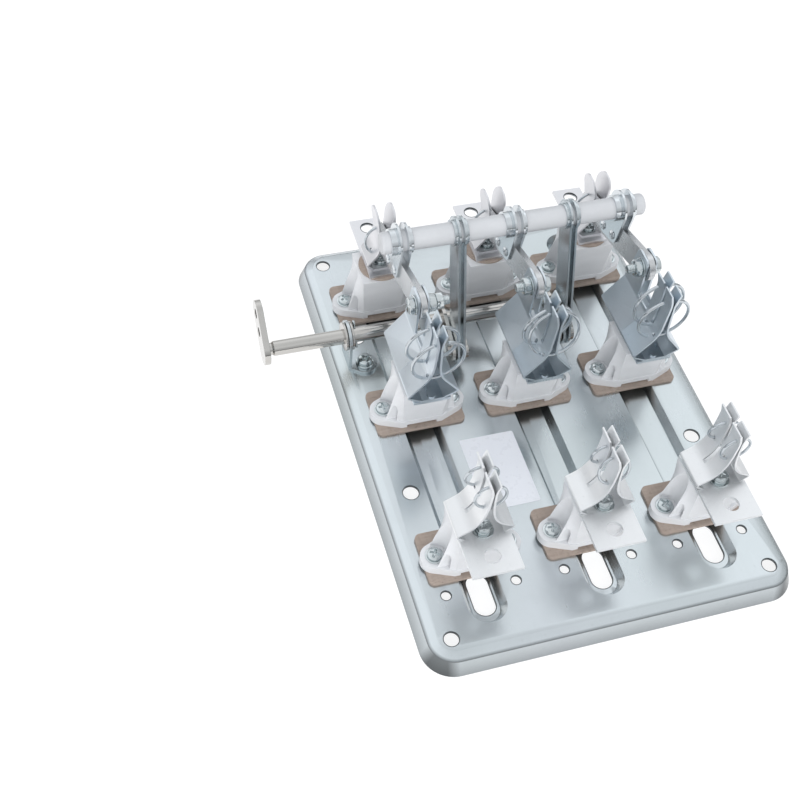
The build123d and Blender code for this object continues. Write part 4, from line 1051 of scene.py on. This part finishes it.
class DISCONNECTOR_OT_stage(bpy.types.Operator):
    """Sets the floor, the soft studio light and the camera"""

    bl_idname = "disconnector.stage"
    bl_label = "Stage"

    def execute(self, context):
        settings = context.scene.disconnector_stage
        mesh = bpy.data.meshes.new("studio_floor")
        size = 6.0
        corners = [(-size, -size, 0), (size, -size, 0), (size, size, 0), (-size, size, 0)]
        mesh.from_pydata(corners, [], [(0, 1, 2, 3)])
        floor = bpy.data.objects.new("studio_floor", mesh)
        bpy.context.scene.collection.objects.link(floor)
        material, shader, _ = base_finish("studio_floor", tuple(settings.floor_colour), 0.0, 0.9)
        shader.inputs["Emission Color"].default_value = (1.0, 1.0, 1.0, 1.0)
        shader.inputs["Emission Strength"].default_value = settings.floor_glow
        mesh.materials.append(material)
        world = bpy.data.worlds.new("studio")
        world.use_nodes = True
        context.scene.world = world
        background = world.node_tree.nodes["Background"]
        background.inputs["Color"].default_value = (0.95, 0.975, 1.0, 1.0)
        studio_sky(world, background, settings.sky_light)
        for name, spot, aim, width, power in (
            ("key", (-0.8, 0.5, 1.5), (0.0, 0.0, 0.0), 1.1, settings.key_power),
            ("fill", (-0.4, -1.6, 0.8), (0.0, 0.0, 0.05), 1.8, settings.key_power * 8.5),
        ):
            data = bpy.data.lights.new(name, "AREA")
            data.shape = "SQUARE"
            data.size = width
            data.energy = power
            lamp = bpy.data.objects.new(name, data)
            lamp.location = spot
            lamp.visible_glossy = False
            lamp.rotation_euler = (Vector(aim) - Vector(spot)).to_track_quat("-Z", "Y").to_euler()
            context.scene.collection.objects.link(lamp)
        data = bpy.data.cameras.new("photo_camera")
        data.lens = settings.lens
        data.sensor_width = 36.0
        data.clip_start = 0.01
        camera = bpy.data.objects.new("photo_camera", data)
        camera.location = CAMERA_PLACE
        camera.rotation_euler = CAMERA_TURN
        context.scene.collection.objects.link(camera)
        context.scene.camera = camera
        context.scene.view_settings.view_transform = "Standard"
        return {"FINISHED"}


STEPS = ("finishes", "tray", "cable_holes", "sheets", "boards", "insulators", "post_screws",
         "centre_screws", "hinge_bolts", "clamp_rivets", "bearing_bolts", "spring_rings", "rod",
         "shaft", "label", "stage")


class DISCONNECTOR_PT_panel(bpy.types.Panel):
    """The dressing's sizes, colours and steps"""

    bl_idname = "DISCONNECTOR_PT_panel"
    bl_label = "Fuse Disconnector"
    bl_space_type = "VIEW_3D"
    bl_region_type = "UI"
    bl_category = "Fuse Disconnector"

    def draw(self, context):
        for group, names in (
            ("finish", ("tray_colour", "board_colour", "insulator_colour", "label_colour")),
            ("shape", ("sheet_rounding", "edge_break", "mould_rounding", "thread_pitch", "wire_sides")),
            ("stage", ("floor_colour", "floor_glow", "sky_light", "key_power", "lens")),
        ):
            box = self.layout.box()
            for name in names:
                box.prop(getattr(context.scene, f"disconnector_{group}"), name)
        for step in STEPS:
            self.layout.operator(f"disconnector.{step}")


CLASSES = (
    FinishSettings, ShapeSettings, StageSettings,
    DISCONNECTOR_OT_finishes, DISCONNECTOR_OT_tray, DISCONNECTOR_OT_cable_holes, DISCONNECTOR_OT_sheets,
    DISCONNECTOR_OT_boards, DISCONNECTOR_OT_insulators,
    DISCONNECTOR_OT_post_screws, DISCONNECTOR_OT_centre_screws, DISCONNECTOR_OT_hinge_bolts,
    DISCONNECTOR_OT_clamp_rivets, DISCONNECTOR_OT_bearing_bolts, DISCONNECTOR_OT_spring_rings,
    DISCONNECTOR_OT_rod, DISCONNECTOR_OT_shaft, DISCONNECTOR_OT_label, DISCONNECTOR_OT_stage,
    DISCONNECTOR_PT_panel,
)


def register():
    for item in CLASSES:
        bpy.utils.register_class(item)
    bpy.types.Scene.disconnector_finish = PointerProperty(type=FinishSettings)
    bpy.types.Scene.disconnector_shape = PointerProperty(type=ShapeSettings)
    bpy.types.Scene.disconnector_stage = PointerProperty(type=StageSettings)


def unregister():
    del bpy.types.Scene.disconnector_stage
    del bpy.types.Scene.disconnector_shape
    del bpy.types.Scene.disconnector_finish
    for item in reversed(CLASSES):
        bpy.utils.unregister_class(item)


def main():
    register()
    for step in STEPS:
        getattr(bpy.ops.disconnector, step)()


if __name__ == "__main__":
    main()
